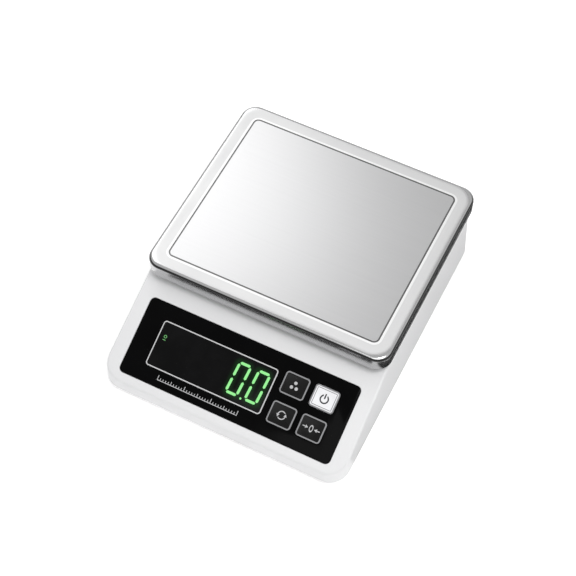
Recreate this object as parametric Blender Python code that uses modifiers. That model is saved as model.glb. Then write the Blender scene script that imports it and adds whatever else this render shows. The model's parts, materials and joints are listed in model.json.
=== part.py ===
"""Digital gram scale: a low wedge housing, a steel pan on a single-point load cell,
and a sloping control panel with an LED display and four keys.

Lengths are in millimetres and become metres when an object is made.
X is across the scale, Y runs from its front to its back and Z is up, with the floor at zero.
"""
import math

import bmesh
import bpy
from mathutils import Matrix, Vector

MM = 0.001
GAP = 0.3            # clearance left between pieces that touch
SMALL = 0.001
THROUGH = 12.0       # a drill long enough for any plate or flange

# Housing
BODY_WIDTH = 177.2
BODY_FRONT = -107.75
BODY_BACK = 107.5
BODY_BOTTOM = 4.0
BODY_TOP = 44.5
DRAFT = math.radians(2.5)
WALL = 3.0
BODY_CORNER = 14.0
BODY_ROLL = 1.6

# Sloping deck and what is set into it
SLOPE = math.radians(23.5)
PANEL_Y = -76.8
PANEL_Z = 27.2
PANEL_SIZE = (153.8, 53.8)
PANEL_CORNER = 3.4
PANEL_THICK = 1.2
PANEL_PROUD = 0.1
RECESS_DEPTH = PANEL_THICK + GAP - PANEL_PROUD
WINDOW_SIZE = (84.6, 31.8)
WINDOW_CENTRE = (-19.8, 0.1)
WINDOW_CORNER = 2.2
WINDOW_LEDGE = 2.8
KEY_SIZE = (17.2, 15.1)
KEY_CORNER = 2.2
KEY_COLUMNS = (36.0, 57.2)
KEY_ROWS = (10.4, -10.4)
KEY_TRAVEL = 0.6
KEY_FLANGE = 1.1
KEY_FLANGE_THICK = 1.9
BOARD_TOP = -9.5     # along the deck's normal, from the deck's face
BOARD_SIZE = (148.0, 43.0, 1.6)
BOARD_SHIFT = 1.5
BOARD_SCREWS = ((70.5, -16.0), (70.5, 19.0))
BOARD_BOSS = 3.0
BOARD_SCREW = 1.1
BOARD_SCREW_HEAD = (2.2, 1.2)
KEY_PROUD = 0.15
KEY_RIM = 0.3
SWITCH_BODY = (6.0, 6.0, 2.2)
SWITCH_SHOULDER = 1.3
SWITCH_SLACK = 0.1   # between a key's underside at full travel and its switch
DISPLAY_DROP = 0.8   # from the window's underside to the display's face
COMPONENTS = {"controller_chip": ((12.0, 12.0, 1.6), (-8.0, 8.0)),
              "lead_connector": ((40.0, 6.0, 5.0), (28.0, 15.0))}

# Pan and carrier
PAN_Y = 32.5
PAN_SIZE = (175.0, 150.5)
PAN_TOP = 61.0
PAN_SKIRT = 12.1
PAN_SHEET = 0.8
PAN_CORNER = 10.6
PAN_ROLL = 2.8
PAN_LINE_INSET = 11.4
PAN_LINE_CORNER = 4.0
PAN_LINE_WIDTH = 0.9
PAN_LINE_DEPTH = 0.3
CARRIER_SIZE = (168.0, 143.0)
CARRIER_TOP = 57.8
CARRIER_BOTTOM = 50.0
CARRIER_PLATE = 2.5
CARRIER_WALL = 2.0
PAD_RADIUS = 5.0
PAD_PLACES = (74.0, 62.0)
STOP_PLACES = (62.0, 50.0)
STOP_RADIUS = 3.0
STOP_BOSS = 5.0
OVERTRAVEL = 0.7
RIB = 2.0
RIB_PLACES = (42.0, 34.0)      # from the carrier's middle, along X and along Y
MOUNT_BLOCK = (26.0, 28.0)     # the raised blocks that take the load cell's bolts
MOUNT_CORNER = 3.0

# Load cell and its mounts
CELL_SIZE = (12.7, 80.0, 12.7)
CELL_BOTTOM = 19.3
CELL_HOLES = (20.0, 35.0)      # from the beam's middle, at both ends
SPACER_SIZE = (22.0, 24.0)
SPACER_THICK = 3.0
CELL_BORE = 4.4
CELL_BORE_PLACE = 6.5          # from the beam's middle, to both sides
CELL_SLOT = 2.0
GAUGE_COATING = (10.0, 18.0, 1.0)
BOLT_BITE = 4.0      # how far short of the beam's far face a bolt ends
SEAL_HIGH = 1.6
SEAL_MARGIN = 3.5
SEAL_WIDTH = 5.0
SEAL_CORNER = 6.0
BOLT_RADIUS = 2.0
BOLT_HOLE = 2.4
BOLT_HEAD = 3.5
BOLT_HEAD_HIGH = 3.2
COUNTERBORE = 4.2
COUNTERBORE_DEPTH = 4.1
BASE_BOLT_SINK = 4.3 # from the base's underside up to the anchor bolts' seats

# Base, gasket and feet
BASE_LOW = 4.2
BASE_THICK = 2.2
GASKET_WIDTH = 2.0
GASKET_HIGH = 1.5
LEDGE_WIDTH = 3.2
LEDGE_HIGH = 1.8
LEDGE_ROOT = 1.0     # how far the ledge reaches into the wall it grows from
HOUSING_BOSSES = ((70.0, -96.8), (74.0, 94.3))
BOSS_RADIUS = 3.5
BOSS_DEPTH = 2.0     # from the deck down to a boss's root
SCREW_RADIUS = 1.4
SCREW_HEAD = 2.6
SCREW_HEAD_HIGH = 0.9
SCREW_SINK = 1.0     # from the base's underside up to the screws' seats
SCREW_LENGTH = 6.0
FOOT_RADIUS = 8.0
FOOT_STEM = 3.1
FOOT_BARB = 4.1
FOOT_TIP = 2.2
FOOT_HIGH = 9.0
FOOT_HOLE = 3.5
FOOT_PLACES = ((77.0, -83.5), (77.0, 79.3))

# Battery bay and charging port
BAY_CENTRE = (-44.0, 37.3)
BAY_SIZE = (42.0, 72.0)
BAY_TOP = 27.5
BAY_WALL = 2.0
BAY_COVER_LIP = 5.0
BAY_FLANGE = (1.8, 2.2)        # below and above the base's upper face
COVER_SEAT = 2.0
COVER_CORNER = 3.0
COVER_SCREW = (1.1, 2.4, 0.6)  # shank, head and head height
COVER_SCREW_LENGTH = 3.6
CELL_RADIUS = 9.2
CELL_LENGTH = 65.0
CELL_HEIGHT = 15.6
CONTACT_SIZE = (32.0, 0.8, 12.0)
CONTACT_GAP = 1.4    # from a cell's end to its contact's middle
BAY_SEAL = (1.6, 1.2)
PORT_X = 45.0
PORT_Z = 18.0
PORT_RECESS = (16.2, 10.6)
PORT_FLOOR_Y = 105.2
PORT_SLOT = (10.2, 4.6)
PORT_REACH = 8.0
SOCKET_SIZE = (9.4, 7.4, 3.8)
SOCKET_WALL = 0.5
CHARGE_BOARD = (16.0, 18.0, 1.6)
PLUG_FLANGE = (15.6, 10.0, 1.7)
PLUG_SHOULDER = 4.0
PLUG_NOSE = 4.4

SIDES = (-1, 1)
CORNERS = {"front_left": (-1, 0), "front_right": (1, 0), "back_left": (-1, 1), "back_right": (1, 1)}


def empty_scene():
    for item in list(bpy.data.objects):
        bpy.data.objects.remove(item, do_unlink=True)


def new_collection(name):
    group = bpy.data.collections.new(name)
    bpy.context.scene.collection.children.link(group)
    return group


empty_scene()
PARTS = new_collection("digital_gram_scale")
CUTTERS = new_collection("cutters")


def finish(name, colour, roughness, metallic=0.0):
    """One Principled material."""
    material = bpy.data.materials.new(name)
    material.use_nodes = True
    shader = material.node_tree.nodes["Principled BSDF"]
    shader.inputs["Base Color"].default_value = (*colour, 1.0)
    shader.inputs["Roughness"].default_value = roughness
    shader.inputs["Metallic"].default_value = metallic
    return material


WHITE_ABS = finish("white_abs", (0.80, 0.80, 0.81), 0.45)
GREY_ABS = finish("grey_abs", (0.45, 0.46, 0.47), 0.55)
STEEL = finish("satin_steel", (0.62, 0.62, 0.62), 0.30, 1.0)
SCREW_STEEL = finish("screw_steel", (0.50, 0.50, 0.50), 0.35, 1.0)
ALUMINIUM = finish("machined_aluminium", (0.77, 0.78, 0.79), 0.40, 1.0)
BLACK_GLOSS = finish("black_gloss", (0.006, 0.006, 0.006), 0.12)
SMOKED = finish("smoked_window", (0.010, 0.010, 0.011), 0.10)
KEY_BLACK = finish("key_black", (0.008, 0.008, 0.008), 0.30)
KEY_WHITE = finish("key_white", (0.85, 0.85, 0.87), 0.35)
LED_BLACK = finish("led_block", (0.02, 0.02, 0.02), 0.50)
BOARD_GREEN = finish("board_green", (0.02, 0.18, 0.07), 0.45)
CHIP_BLACK = finish("chip_black", (0.03, 0.03, 0.03), 0.50)
RUBBER_GREY = finish("rubber_grey", (0.16, 0.16, 0.17), 0.80)
RUBBER_WHITE = finish("silicone_white", (0.70, 0.70, 0.70), 0.70)
CELL_SLEEVE = finish("cell_sleeve", (0.05, 0.16, 0.45), 0.40)
LEAD_PVC = finish("lead_pvc", (0.30, 0.02, 0.02), 0.50)


def at(x=0.0, y=0.0, z=0.0):
    return Matrix.Translation((x, y, z))


def spanning(x, y, low, high):
    """The place of a piece of height high - low that is built about its own middle."""
    return at(x, y, (low + high) / 2)


WORLD = Matrix.Identity(4)
HEAD_DOWN = Matrix.Rotation(math.pi, 4, "X")
DECK = at(0.0, PANEL_Y, PANEL_Z) @ Matrix.Rotation(SLOPE, 4, "X")


# ---------------------------------------------------------------- shapes

def upright(edge):
    return abs(edge.verts[0].co.z - edge.verts[1].co.z) > 0.9 * edge.calc_length()


def round_edges(bm, edges, radius, steps):
    bmesh.ops.bevel(bm, geom=edges, offset=radius, segments=steps, profile=0.5,
                    affect="EDGES", clamp_overlap=False)


def slab(size, corner=0.0, corner_steps=4, rim=0.0, rim_steps=2):
    """A block about its own middle, its upright corners and its upper rim rounded."""
    bm = bmesh.new()
    bmesh.ops.create_cube(bm, size=1.0)
    bmesh.ops.scale(bm, vec=size, verts=bm.verts)
    if corner:
        round_edges(bm, [e for e in bm.edges if upright(e)], corner, corner_steps)
    if rim:
        top = size[2] / 2 - SMALL
        edges = [e for e in bm.edges if all(v.co.z > top for v in e.verts)]
        round_edges(bm, edges, rim, rim_steps)
    return bm


def rod(radius, length, sides=16):
    """A cylinder along Z about its own middle."""
    bm = bmesh.new()
    bmesh.ops.create_cone(bm, cap_ends=True, segments=sides, radius1=radius, radius2=radius,
                          depth=length)
    return bm


def turned(outline, sides=16):
    """An outline of (radius, height) points, listed top to bottom, spun about Z."""
    bm = bmesh.new()
    points = [bm.verts.new((radius, 0.0, height)) for radius, height in outline]
    edges = [bm.edges.new(pair) for pair in zip(points, points[1:])]
    bmesh.ops.spin(bm, geom=points + edges, cent=(0, 0, 0), axis=(0, 0, 1),
                   angle=2 * math.pi, steps=sides, use_merge=True)
    bmesh.ops.remove_doubles(bm, verts=bm.verts, dist=SMALL)
    bmesh.ops.recalc_face_normals(bm, faces=bm.faces)
    return bm


def bolt(length, radius=BOLT_RADIUS, head=BOLT_HEAD, head_high=BOLT_HEAD_HIGH, sides=12):
    """A pan-head screw, head up, the underside of its head at zero."""
    crown = head_high * 0.35
    outline = [(0.0, head_high), (head * 0.75, head_high), (head, head_high - crown),
               (head, 0.0), (radius, 0.0), (radius, -length + radius / 2),
               (radius / 2, -length), (0.0, -length)]
    return turned(outline, sides)


def ring(size, corner, width, height, corner_steps=4):
    """A flat frame with round corners: an outline, inset, opened and thickened."""
    bm = slab((size[0], size[1], height), corner, corner_steps)
    caps = [f for f in bm.faces if abs(f.normal.z) > 0.9]
    bmesh.ops.inset_individual(bm, faces=caps, thickness=width, use_even_offset=True)
    bmesh.ops.bridge_loops(bm, edges=list({e for f in caps for e in f.edges}))
    bmesh.ops.delete(bm, geom=caps, context="FACES_ONLY")
    bmesh.ops.recalc_face_normals(bm, faces=bm.faces)
    return bm


def stepped(size, inset, rise, corner=0.0, rim=0.0):
    """A flange about its own middle with a narrower block raised from its top."""
    bm = slab(size, corner)
    top = [f for f in bm.faces if f.normal.z > 0.9]
    bmesh.ops.inset_region(bm, faces=top, thickness=inset, use_even_offset=True)
    raised = bmesh.ops.extrude_face_region(bm, geom=top)["geom"]
    bmesh.ops.delete(bm, geom=top, context="FACES_ONLY")
    moved = [v for v in raised if isinstance(v, bmesh.types.BMVert)]
    bmesh.ops.translate(bm, vec=(0, 0, rise), verts=moved)
    if rim:
        high = size[2] / 2 + rise - SMALL
        edges = [e for e in bm.edges if all(v.co.z > high for v in e.verts)]
        round_edges(bm, edges, rim, 2)
    bmesh.ops.recalc_face_normals(bm, faces=bm.faces)
    return bm


def half_at(height, inset):
    """Half the housing's width at a height, less an inset."""
    return BODY_WIDTH / 2 - inset - (height - BODY_BOTTOM) * math.tan(DRAFT)


def ends_at(height, inset):
    """The housing's front and back at a height, less an inset."""
    lean = inset + (height - BODY_BOTTOM) * math.tan(DRAFT)
    return BODY_FRONT + lean, BODY_BACK - lean


def wedge(inset, low, corner_steps, roll=0.0, roll_steps=3):
    """The housing's form from height `low` up, shrunk by `inset` on every other side."""
    bm = bmesh.new()
    bmesh.ops.create_cube(bm, size=1.0)
    for vert in bm.verts:
        height = low if vert.co.z < 0 else BODY_TOP - inset
        front, back = ends_at(height, inset)
        side = half_at(height, inset)
        vert.co = (math.copysign(side, vert.co.x), front if vert.co.y < 0 else back, height)
    normal = DECK.to_3x3() @ Vector((0, 0, 1))
    face = DECK.translation - inset * normal
    everything = list(bm.verts) + list(bm.edges) + list(bm.faces)
    bmesh.ops.bisect_plane(bm, geom=everything, plane_co=face, plane_no=normal, clear_outer=True)
    bmesh.ops.holes_fill(bm, edges=bm.edges)
    bmesh.ops.recalc_face_normals(bm, faces=bm.faces)
    round_edges(bm, [e for e in bm.edges if upright(e)], BODY_CORNER - inset, corner_steps)
    if roll:
        bm.normal_update()
        rims = [e for e in bm.edges if sorted(f.normal.z > 0.8 for f in e.link_faces) == [False, True]]
        rims = [e for e in rims if min(v.co.z for v in e.verts) > low + SMALL]
        round_edges(bm, rims, roll, roll_steps)
    return bm


# ---------------------------------------------------------------- objects

def gathered(pieces):
    """One mesh of separate bodies, each piece at its own place."""
    mesh = bpy.data.meshes.new("piece")
    whole = bmesh.new()
    for piece, place in pieces:
        piece.transform(place)
        piece.to_mesh(mesh)
        piece.free()
        whole.from_mesh(mesh)
    bpy.data.meshes.remove(mesh)
    return whole


def put(name, pieces, group, frame, origin):
    """An object whose mesh is about `origin`, a point of its frame, written in metres."""
    bm = gathered(pieces)
    bm.transform(Matrix.Scale(MM, 4) @ at(*origin).inverted())
    mesh = bpy.data.meshes.new(name)
    bm.to_mesh(mesh)
    bm.free()
    item = bpy.data.objects.new(name, mesh)
    turn = frame.to_3x3().to_4x4()
    item.matrix_world = Matrix.Translation((frame @ Vector(origin)) * MM) @ turn
    group.objects.link(item)
    return item


def part(name, material, pieces, frame=WORLD, origin=(0.0, 0.0, 0.0)):
    item = put(name, pieces, PARTS, frame, origin)
    item.data.materials.append(material)
    item.data.shade_smooth()
    item.data.set_sharp_from_angle(angle=math.radians(35))
    return item


def shape_with(item, operation, name, pieces, frame=WORLD):
    """Cut pieces out of an item, or join them to it."""
    tool = put(name, pieces, CUTTERS, frame, (0.0, 0.0, 0.0))
    tool.hide_render = True
    tool.display_type = "WIRE"
    boolean = item.modifiers.new(name, "BOOLEAN")
    boolean.operation = operation
    boolean.solver = "EXACT"
    boolean.object = tool


def cut(item, name, pieces, frame=WORLD):
    shape_with(item, "DIFFERENCE", name, pieces, frame)


def join(item, name, pieces, frame=WORLD):
    shape_with(item, "UNION", name, pieces, frame)


def corner_places(front_and_back):
    """The place at each named corner, from the right-hand front and back ones."""
    return {corner: (side * front_and_back[row][0], front_and_back[row][1])
            for corner, (side, row) in CORNERS.items()}


def around_pan(half_x, half_y):
    """The place at each named corner of the pan, at a distance from its middle."""
    return corner_places(((half_x, PAN_Y - half_y), (half_x, PAN_Y + half_y)))


BASE_HIGH = BASE_LOW + BASE_THICK
GASKET_LOW = BASE_HIGH + GAP
LEDGE_LOW = GASKET_LOW + GASKET_HIGH + GAP
INNER_FRONT, INNER_BACK = ends_at(BASE_HIGH, WALL)
INNER_HALF = half_at(BASE_HIGH, WALL)
INNER_MIDDLE = (INNER_FRONT + INNER_BACK) / 2
INNER_SIZE = (2 * INNER_HALF, INNER_BACK - INNER_FRONT)
INNER_CORNER = BODY_CORNER - WALL
CELL_TOP = CELL_BOTTOM + CELL_SIZE[2]
POST_Y = PAN_Y - (CELL_HOLES[0] + CELL_HOLES[1]) / 2
ANCHOR_Y = PAN_Y + (CELL_HOLES[0] + CELL_HOLES[1]) / 2
POST_LOW = CELL_TOP + GAP
POST_HIGH = 49.1
ANCHOR_TOP = CELL_BOTTOM - GAP
POST_HOLE = (27.0, 29.0)
KEY_PLACES = {"key_pcs": (KEY_COLUMNS[0], KEY_ROWS[0]), "key_on_off": (KEY_COLUMNS[1], KEY_ROWS[0]),
              "key_mode": (KEY_COLUMNS[0], KEY_ROWS[1]), "key_tare": (KEY_COLUMNS[1], KEY_ROWS[1])}


def grown(size, margin):
    return size[0] + 2 * margin, size[1] + 2 * margin


def deck_slab(size, centre, low, high, corner=0.0):
    """A slab in the deck's frame, from height `low` to `high` along its normal."""
    return slab((size[0], size[1], high - low), corner), spanning(centre[0], centre[1], low, high)


def key_openings(low, high):
    return [deck_slab(grown(KEY_SIZE, GAP), place, low, high, KEY_CORNER + GAP)
            for place in KEY_PLACES.values()]


# ---------------------------------------------------------------- housing

def make_upper_housing():
    """White wedge shell with an open underside, bosses, overload stops and a recessed deck."""
    below = BODY_BOTTOM - 5.0
    shell = part("upper_housing", WHITE_ABS, [(wedge(0.0, BODY_BOTTOM, 6, BODY_ROLL), WORLD)])
    cut(shell, "shell_hollow", [(wedge(WALL, below, 4), WORLD)])
    roof = BODY_TOP - WALL / 2
    screws = corner_places(HOUSING_BOSSES).values()
    bosses = []
    for x, y in screws:
        deck_low = PANEL_Z + (y - BOSS_RADIUS - PANEL_Y) * math.tan(SLOPE)
        ceiling = min(roof, deck_low - BOSS_DEPTH)
        bosses.append((rod(BOSS_RADIUS, ceiling - GASKET_LOW, 12), spanning(x, y, GASKET_LOW, ceiling)))
    stop_high = CARRIER_BOTTOM - OVERTRAVEL
    bosses += [(rod(STOP_RADIUS, stop_high - roof, 12), spanning(x, y, roof, stop_high))
               for x, y in around_pan(*STOP_PLACES).values()]
    join(shell, "shell_bosses", bosses)
    board_screws = corner_places(BOARD_SCREWS).values()
    board_bosses = [(rod(BOARD_BOSS, -WALL / 2 - BOARD_TOP - GAP, 12),
                     spanning(x, y, BOARD_TOP + GAP, -WALL / 2)) for x, y in board_screws]
    join(shell, "board_bosses", board_bosses, DECK)
    ledge = ring(grown(INNER_SIZE, LEDGE_ROOT), INNER_CORNER + LEDGE_ROOT, LEDGE_WIDTH + LEDGE_ROOT,
                 LEDGE_HIGH)
    join(shell, "gasket_ledge", [(ledge, spanning(0, INNER_MIDDLE, LEDGE_LOW, LEDGE_LOW + LEDGE_HIGH))])
    recess = deck_slab(grown(PANEL_SIZE, GAP), (0, 0), -RECESS_DEPTH, WALL, PANEL_CORNER + GAP)
    cut(shell, "panel_recess", [recess], DECK)
    glass = grown(WINDOW_SIZE, -WINDOW_LEDGE + GAP)
    openings = [deck_slab(glass, WINDOW_CENTRE, -2 * WALL, 0.0, 1.0)] + key_openings(-2 * WALL, 0.0)
    cut(shell, "panel_openings", openings, DECK)
    drills = [(slab((*POST_HOLE, 4 * WALL), 4.0), at(0, POST_Y, BODY_TOP))]
    drills += [(rod(SCREW_RADIUS + GAP, 6.0, 10), spanning(x, y, GASKET_LOW - 1.0, GASKET_LOW + 5.0))
               for x, y in screws]
    cut(shell, "shell_drills", drills)
    board_drills = [(rod(BOARD_SCREW + GAP, 5.2, 10), spanning(x, y, BOARD_TOP - 1.0, BOARD_TOP + 4.2))
                    for x, y in board_screws]
    cut(shell, "board_drills", board_drills, DECK)
    recess = slab((PORT_RECESS[0], PORT_REACH, PORT_RECESS[1]))
    cut(shell, "port_recess", [(recess, at(PORT_X, PORT_FLOOR_Y + PORT_REACH / 2, PORT_Z))])
    slot = slab((PORT_SLOT[0], 4 * WALL, PORT_SLOT[1]))
    cut(shell, "port_slot", [(slot, at(PORT_X, PORT_FLOOR_Y, PORT_Z))])


def make_base():
    """Bottom plate with the load cell's pedestal, the battery bay and the feet's holes."""
    plate = slab((*grown(INNER_SIZE, -GAP), BASE_THICK), INNER_CORNER - GAP)
    base = part("base", WHITE_ABS, [(plate, spanning(0, INNER_MIDDLE, BASE_LOW, BASE_HIGH))])
    root = BASE_HIGH - 0.5
    pedestal_top = ANCHOR_TOP - SPACER_THICK - GAP
    board_rest = PORT_Z - SOCKET_SIZE[2] / 2 - 2 * GAP - CHARGE_BOARD[2]
    cover = grown(BAY_SIZE, BAY_COVER_LIP)
    flange = slab((*grown(cover, BAY_WALL), sum(BAY_FLANGE)), 4.0)
    below, above = BAY_FLANGE
    join(base, "bay_flange", [(flange, spanning(*BAY_CENTRE, BASE_HIGH - below, BASE_HIGH + above))])
    bay = slab((*grown(BAY_SIZE, BAY_WALL), BAY_TOP - root), 3.0)
    pedestal = slab((*MOUNT_BLOCK, pedestal_top - root), MOUNT_CORNER)
    raised = [(pedestal, spanning(0, ANCHOR_Y, root, pedestal_top)),
              (bay, spanning(*BAY_CENTRE, root, BAY_TOP)),
              (slab((12.0, 14.0, board_rest - root)),
               spanning(PORT_X, PORT_FLOOR_Y - 12.9, root, board_rest))]
    join(base, "base_raised", raised)
    hollow = slab((*BAY_SIZE, BAY_TOP), 2.0)
    cut(base, "bay_hollow", [(hollow, spanning(*BAY_CENTRE, 0.0, BAY_TOP - BAY_WALL))])
    seat = slab((*cover, 2 * COVER_SEAT), COVER_CORNER)
    cut(base, "cover_seat", [(seat, spanning(*BAY_CENTRE, BASE_LOW - COVER_SEAT, BASE_LOW + COVER_SEAT))])
    screws = corner_places(HOUSING_BOSSES).values()
    feet = corner_places(FOOT_PLACES).values()
    drills = [(rod(FOOT_HOLE, THROUGH, 12), at(x, y, BASE_LOW)) for x, y in feet]
    drills += [(rod(SCREW_RADIUS + GAP, THROUGH, 10), at(x, y, BASE_LOW)) for x, y in screws]
    drills += [(rod(BOLT_HOLE, 3 * THROUGH, 12), at(0, y, BASE_LOW)) for y in anchor_bolt_places()]
    drills += [(rod(SCREW_RADIUS, 9.0, 10), spanning(x, y, BASE_LOW, BASE_LOW + 4.0))
               for x, y in cover_screw_places().values()]
    cut(base, "base_drills", drills)
    heads = [sunk(SCREW_HEAD + GAP, x, y, SCREW_SINK + GAP) for x, y in screws]
    heads += [sunk(COUNTERBORE, 0, y, BASE_BOLT_SINK + GAP, 14) for y in anchor_bolt_places()]
    cut(base, "base_counterbores", heads)


def sunk(radius, x, y, depth, sides=12):
    """A drill that sinks a screw's head into the base's underside."""
    return rod(radius, depth + COVER_SEAT, sides), spanning(x, y, BASE_LOW - COVER_SEAT, BASE_LOW + depth)


def anchor_bolt_places():
    return [PAN_Y + offset for offset in CELL_HOLES]


def post_bolt_places():
    return [PAN_Y - offset for offset in CELL_HOLES]


def cover_screw_places():
    reach = BAY_SIZE[1] / 2 + BAY_COVER_LIP / 2
    ends = zip(("front", "back"), SIDES)
    return {name: (BAY_CENTRE[0], BAY_CENTRE[1] + side * reach) for name, side in ends}


def make_housing_hardware():
    """Perimeter gasket, the screws that hold the base, and the push-in feet."""
    seal = ring(grown(INNER_SIZE, -0.5), INNER_CORNER - 0.5, GASKET_WIDTH, GASKET_HIGH)
    part("housing_gasket", RUBBER_WHITE,
         [(seal, spanning(0, INNER_MIDDLE, GASKET_LOW, GASKET_LOW + GASKET_HIGH))])
    seat = BASE_LOW + SCREW_SINK
    for corner, (x, y) in corner_places(HOUSING_BOSSES).items():
        screw = bolt(SCREW_LENGTH, SCREW_RADIUS, SCREW_HEAD, SCREW_HEAD_HIGH, 10)
        part("housing_screw_" + corner, SCREW_STEEL, [(screw, at(x, y, seat) @ HEAD_DOWN)],
             origin=(x, y, seat))
    sole, barb, chamfer = FOOT_RADIUS, BASE_HIGH + GAP, 0.7
    outline = [(0.0, FOOT_HIGH), (FOOT_TIP, FOOT_HIGH), (FOOT_BARB, barb), (FOOT_STEM, barb),
               (FOOT_STEM, BASE_LOW - GAP), (sole, BASE_LOW - GAP), (sole, chamfer), (sole - chamfer, 0.0),
               (0.0, 0.0)]
    for corner, (x, y) in corner_places(FOOT_PLACES).items():
        part("foot_" + corner, RUBBER_GREY, [(turned(outline, 18), at(x, y, 0))], origin=(x, y, 0))


# ---------------------------------------------------------------- control panel

def make_panel():
    """Gloss overlay and smoked window, set flush into the deck's recess."""
    low = PANEL_PROUD - PANEL_THICK
    overlay = part("panel_overlay", BLACK_GLOSS,
                   [deck_slab(PANEL_SIZE, (0, 0), low, PANEL_PROUD, PANEL_CORNER)], DECK)
    holes = [deck_slab(grown(WINDOW_SIZE, GAP), WINDOW_CENTRE, low - 1.0, 1.0, WINDOW_CORNER + GAP)]
    cut(overlay, "overlay_openings", holes + key_openings(low - 1.0, 1.0), DECK)
    part("display_window", SMOKED,
         [deck_slab(WINDOW_SIZE, WINDOW_CENTRE, low, PANEL_PROUD, WINDOW_CORNER)], DECK)


def make_keys():
    """Four key caps, each held under the deck by its flange."""
    flange_top = -WALL - GAP
    size = (*grown(KEY_SIZE, KEY_FLANGE), KEY_FLANGE_THICK)
    for name, (x, y) in KEY_PLACES.items():
        cap = stepped(size, KEY_FLANGE, KEY_PROUD - flange_top, KEY_CORNER + KEY_FLANGE, rim=KEY_RIM)
        place = spanning(x, y, flange_top - KEY_FLANGE_THICK, flange_top)
        material = KEY_WHITE if name == "key_on_off" else KEY_BLACK
        part(name, material, [(cap, place)], DECK, origin=(x, y, KEY_PROUD))


def make_electronics():
    """Board under the deck, with the display, a switch under each key, and its other components."""
    under = BOARD_TOP - BOARD_SIZE[2]
    board = part("main_board", BOARD_GREEN,
                 [deck_slab(BOARD_SIZE, (0, BOARD_SHIFT), under, BOARD_TOP, 1.5)], DECK)
    screws = corner_places(BOARD_SCREWS)
    holes = [(rod(BOARD_SCREW + GAP, THROUGH / 2, 10), at(x, y, BOARD_TOP)) for x, y in screws.values()]
    cut(board, "board_holes", holes, DECK)
    low = BOARD_TOP + GAP
    face = PANEL_PROUD - PANEL_THICK - DISPLAY_DROP
    module = grown(WINDOW_SIZE, -WINDOW_LEDGE - 0.1)
    part("led_display", LED_BLACK, [deck_slab(module, WINDOW_CENTRE, low, face, 0.6)], DECK)
    key_underside = -WALL - GAP - KEY_FLANGE_THICK
    body_top = low + SWITCH_BODY[2]
    button = key_underside - KEY_TRAVEL - SWITCH_SLACK - body_top
    for name, (x, y) in KEY_PLACES.items():
        switch = stepped(SWITCH_BODY, SWITCH_SHOULDER, button)
        part(name.replace("key", "switch"), CHIP_BLACK, [(switch, spanning(x, y, low, body_top))], DECK,
             origin=(x, y, low))
    high = under - GAP
    for name, (size, place) in COMPONENTS.items():
        part(name, CHIP_BLACK, [(slab(size), spanning(*place, high - size[2], high))], DECK,
             origin=(*place, high))
    for corner, (x, y) in screws.items():
        screw = bolt(5.4, BOARD_SCREW, *BOARD_SCREW_HEAD, 10)
        part("board_screw_" + corner, SCREW_STEEL, [(screw, at(x, y, high) @ HEAD_DOWN)], DECK,
             origin=(x, y, high))


# ---------------------------------------------------------------- weighing mechanism

def make_load_cell():
    """Aluminium beam with a binocular cut-out, bolted to the base at the back and the post in front."""
    middle = CELL_BOTTOM + CELL_SIZE[2] / 2
    beam = part("load_cell", ALUMINIUM, [(slab(CELL_SIZE), at(0, PAN_Y, middle))])
    across = Matrix.Rotation(math.pi / 2, 4, "Y")
    bores = [(rod(CELL_BORE, 20.0, 16), at(0, PAN_Y + side * CELL_BORE_PLACE, middle) @ across)
             for side in SIDES]
    cut(beam, "cell_bores", bores)
    cut(beam, "cell_slot", [(slab((20.0, 2 * CELL_BORE_PLACE, CELL_SLOT)), at(0, PAN_Y, middle))])
    all_bolts = anchor_bolt_places() + post_bolt_places()
    cut(beam, "cell_tapped_holes", [(rod(BOLT_HOLE, 20.0, 12), at(0, y, middle)) for y in all_bolts])
    coat_middle = CELL_BOTTOM - GAP - GAUGE_COATING[2] / 2
    part("gauge_coating", RUBBER_WHITE, [(slab(GAUGE_COATING, 1.5, 2), at(0, PAN_Y, coat_middle))])
    spacer = slab((*SPACER_SIZE, SPACER_THICK), 1.5, 2)
    anchor = part("load_cell_spacer", ALUMINIUM,
                  [(spacer, spanning(0, ANCHOR_Y, ANCHOR_TOP - SPACER_THICK, ANCHOR_TOP))])
    cut(anchor, "spacer_holes", [(rod(BOLT_HOLE, THROUGH, 12), at(0, y, ANCHOR_TOP))
                                 for y in anchor_bolt_places()])
    column = slab((*SPACER_SIZE, POST_HIGH - POST_LOW), 2.0, 2)
    post = part("load_cell_post", ALUMINIUM, [(column, spanning(0, POST_Y, POST_LOW, POST_HIGH))],
                origin=(0, POST_Y, POST_LOW))
    cut(post, "post_holes", [(rod(BOLT_HOLE, 30.0, 12), at(0, y, POST_HIGH - 8.0))
                             for y in post_bolt_places()])
    anchor_seat = BASE_LOW + BASE_BOLT_SINK
    post_seat = CARRIER_TOP - COUNTERBORE_DEPTH + GAP
    for end, anchor_y, post_y in zip(("front", "back"), anchor_bolt_places(), reversed(post_bolt_places())):
        part("anchor_bolt_" + end, SCREW_STEEL,
             [(bolt(CELL_TOP - BOLT_BITE - anchor_seat), at(0, anchor_y, anchor_seat) @ HEAD_DOWN)],
             origin=(0, anchor_y, anchor_seat))
        part("post_bolt_" + end, SCREW_STEEL,
             [(bolt(post_seat - CELL_BOTTOM - BOLT_BITE), at(0, post_y, post_seat))],
             origin=(0, post_y, post_seat))


def make_post_seal():
    """Silicone collar that closes the housing's roof round the moving post."""
    seal = ring(grown(POST_HOLE, SEAL_MARGIN), SEAL_CORNER, SEAL_WIDTH, SEAL_HIGH)
    low = BODY_TOP + GAP
    part("post_seal", RUBBER_WHITE, [(seal, spanning(0, POST_Y, low, low + SEAL_HIGH))])


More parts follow.
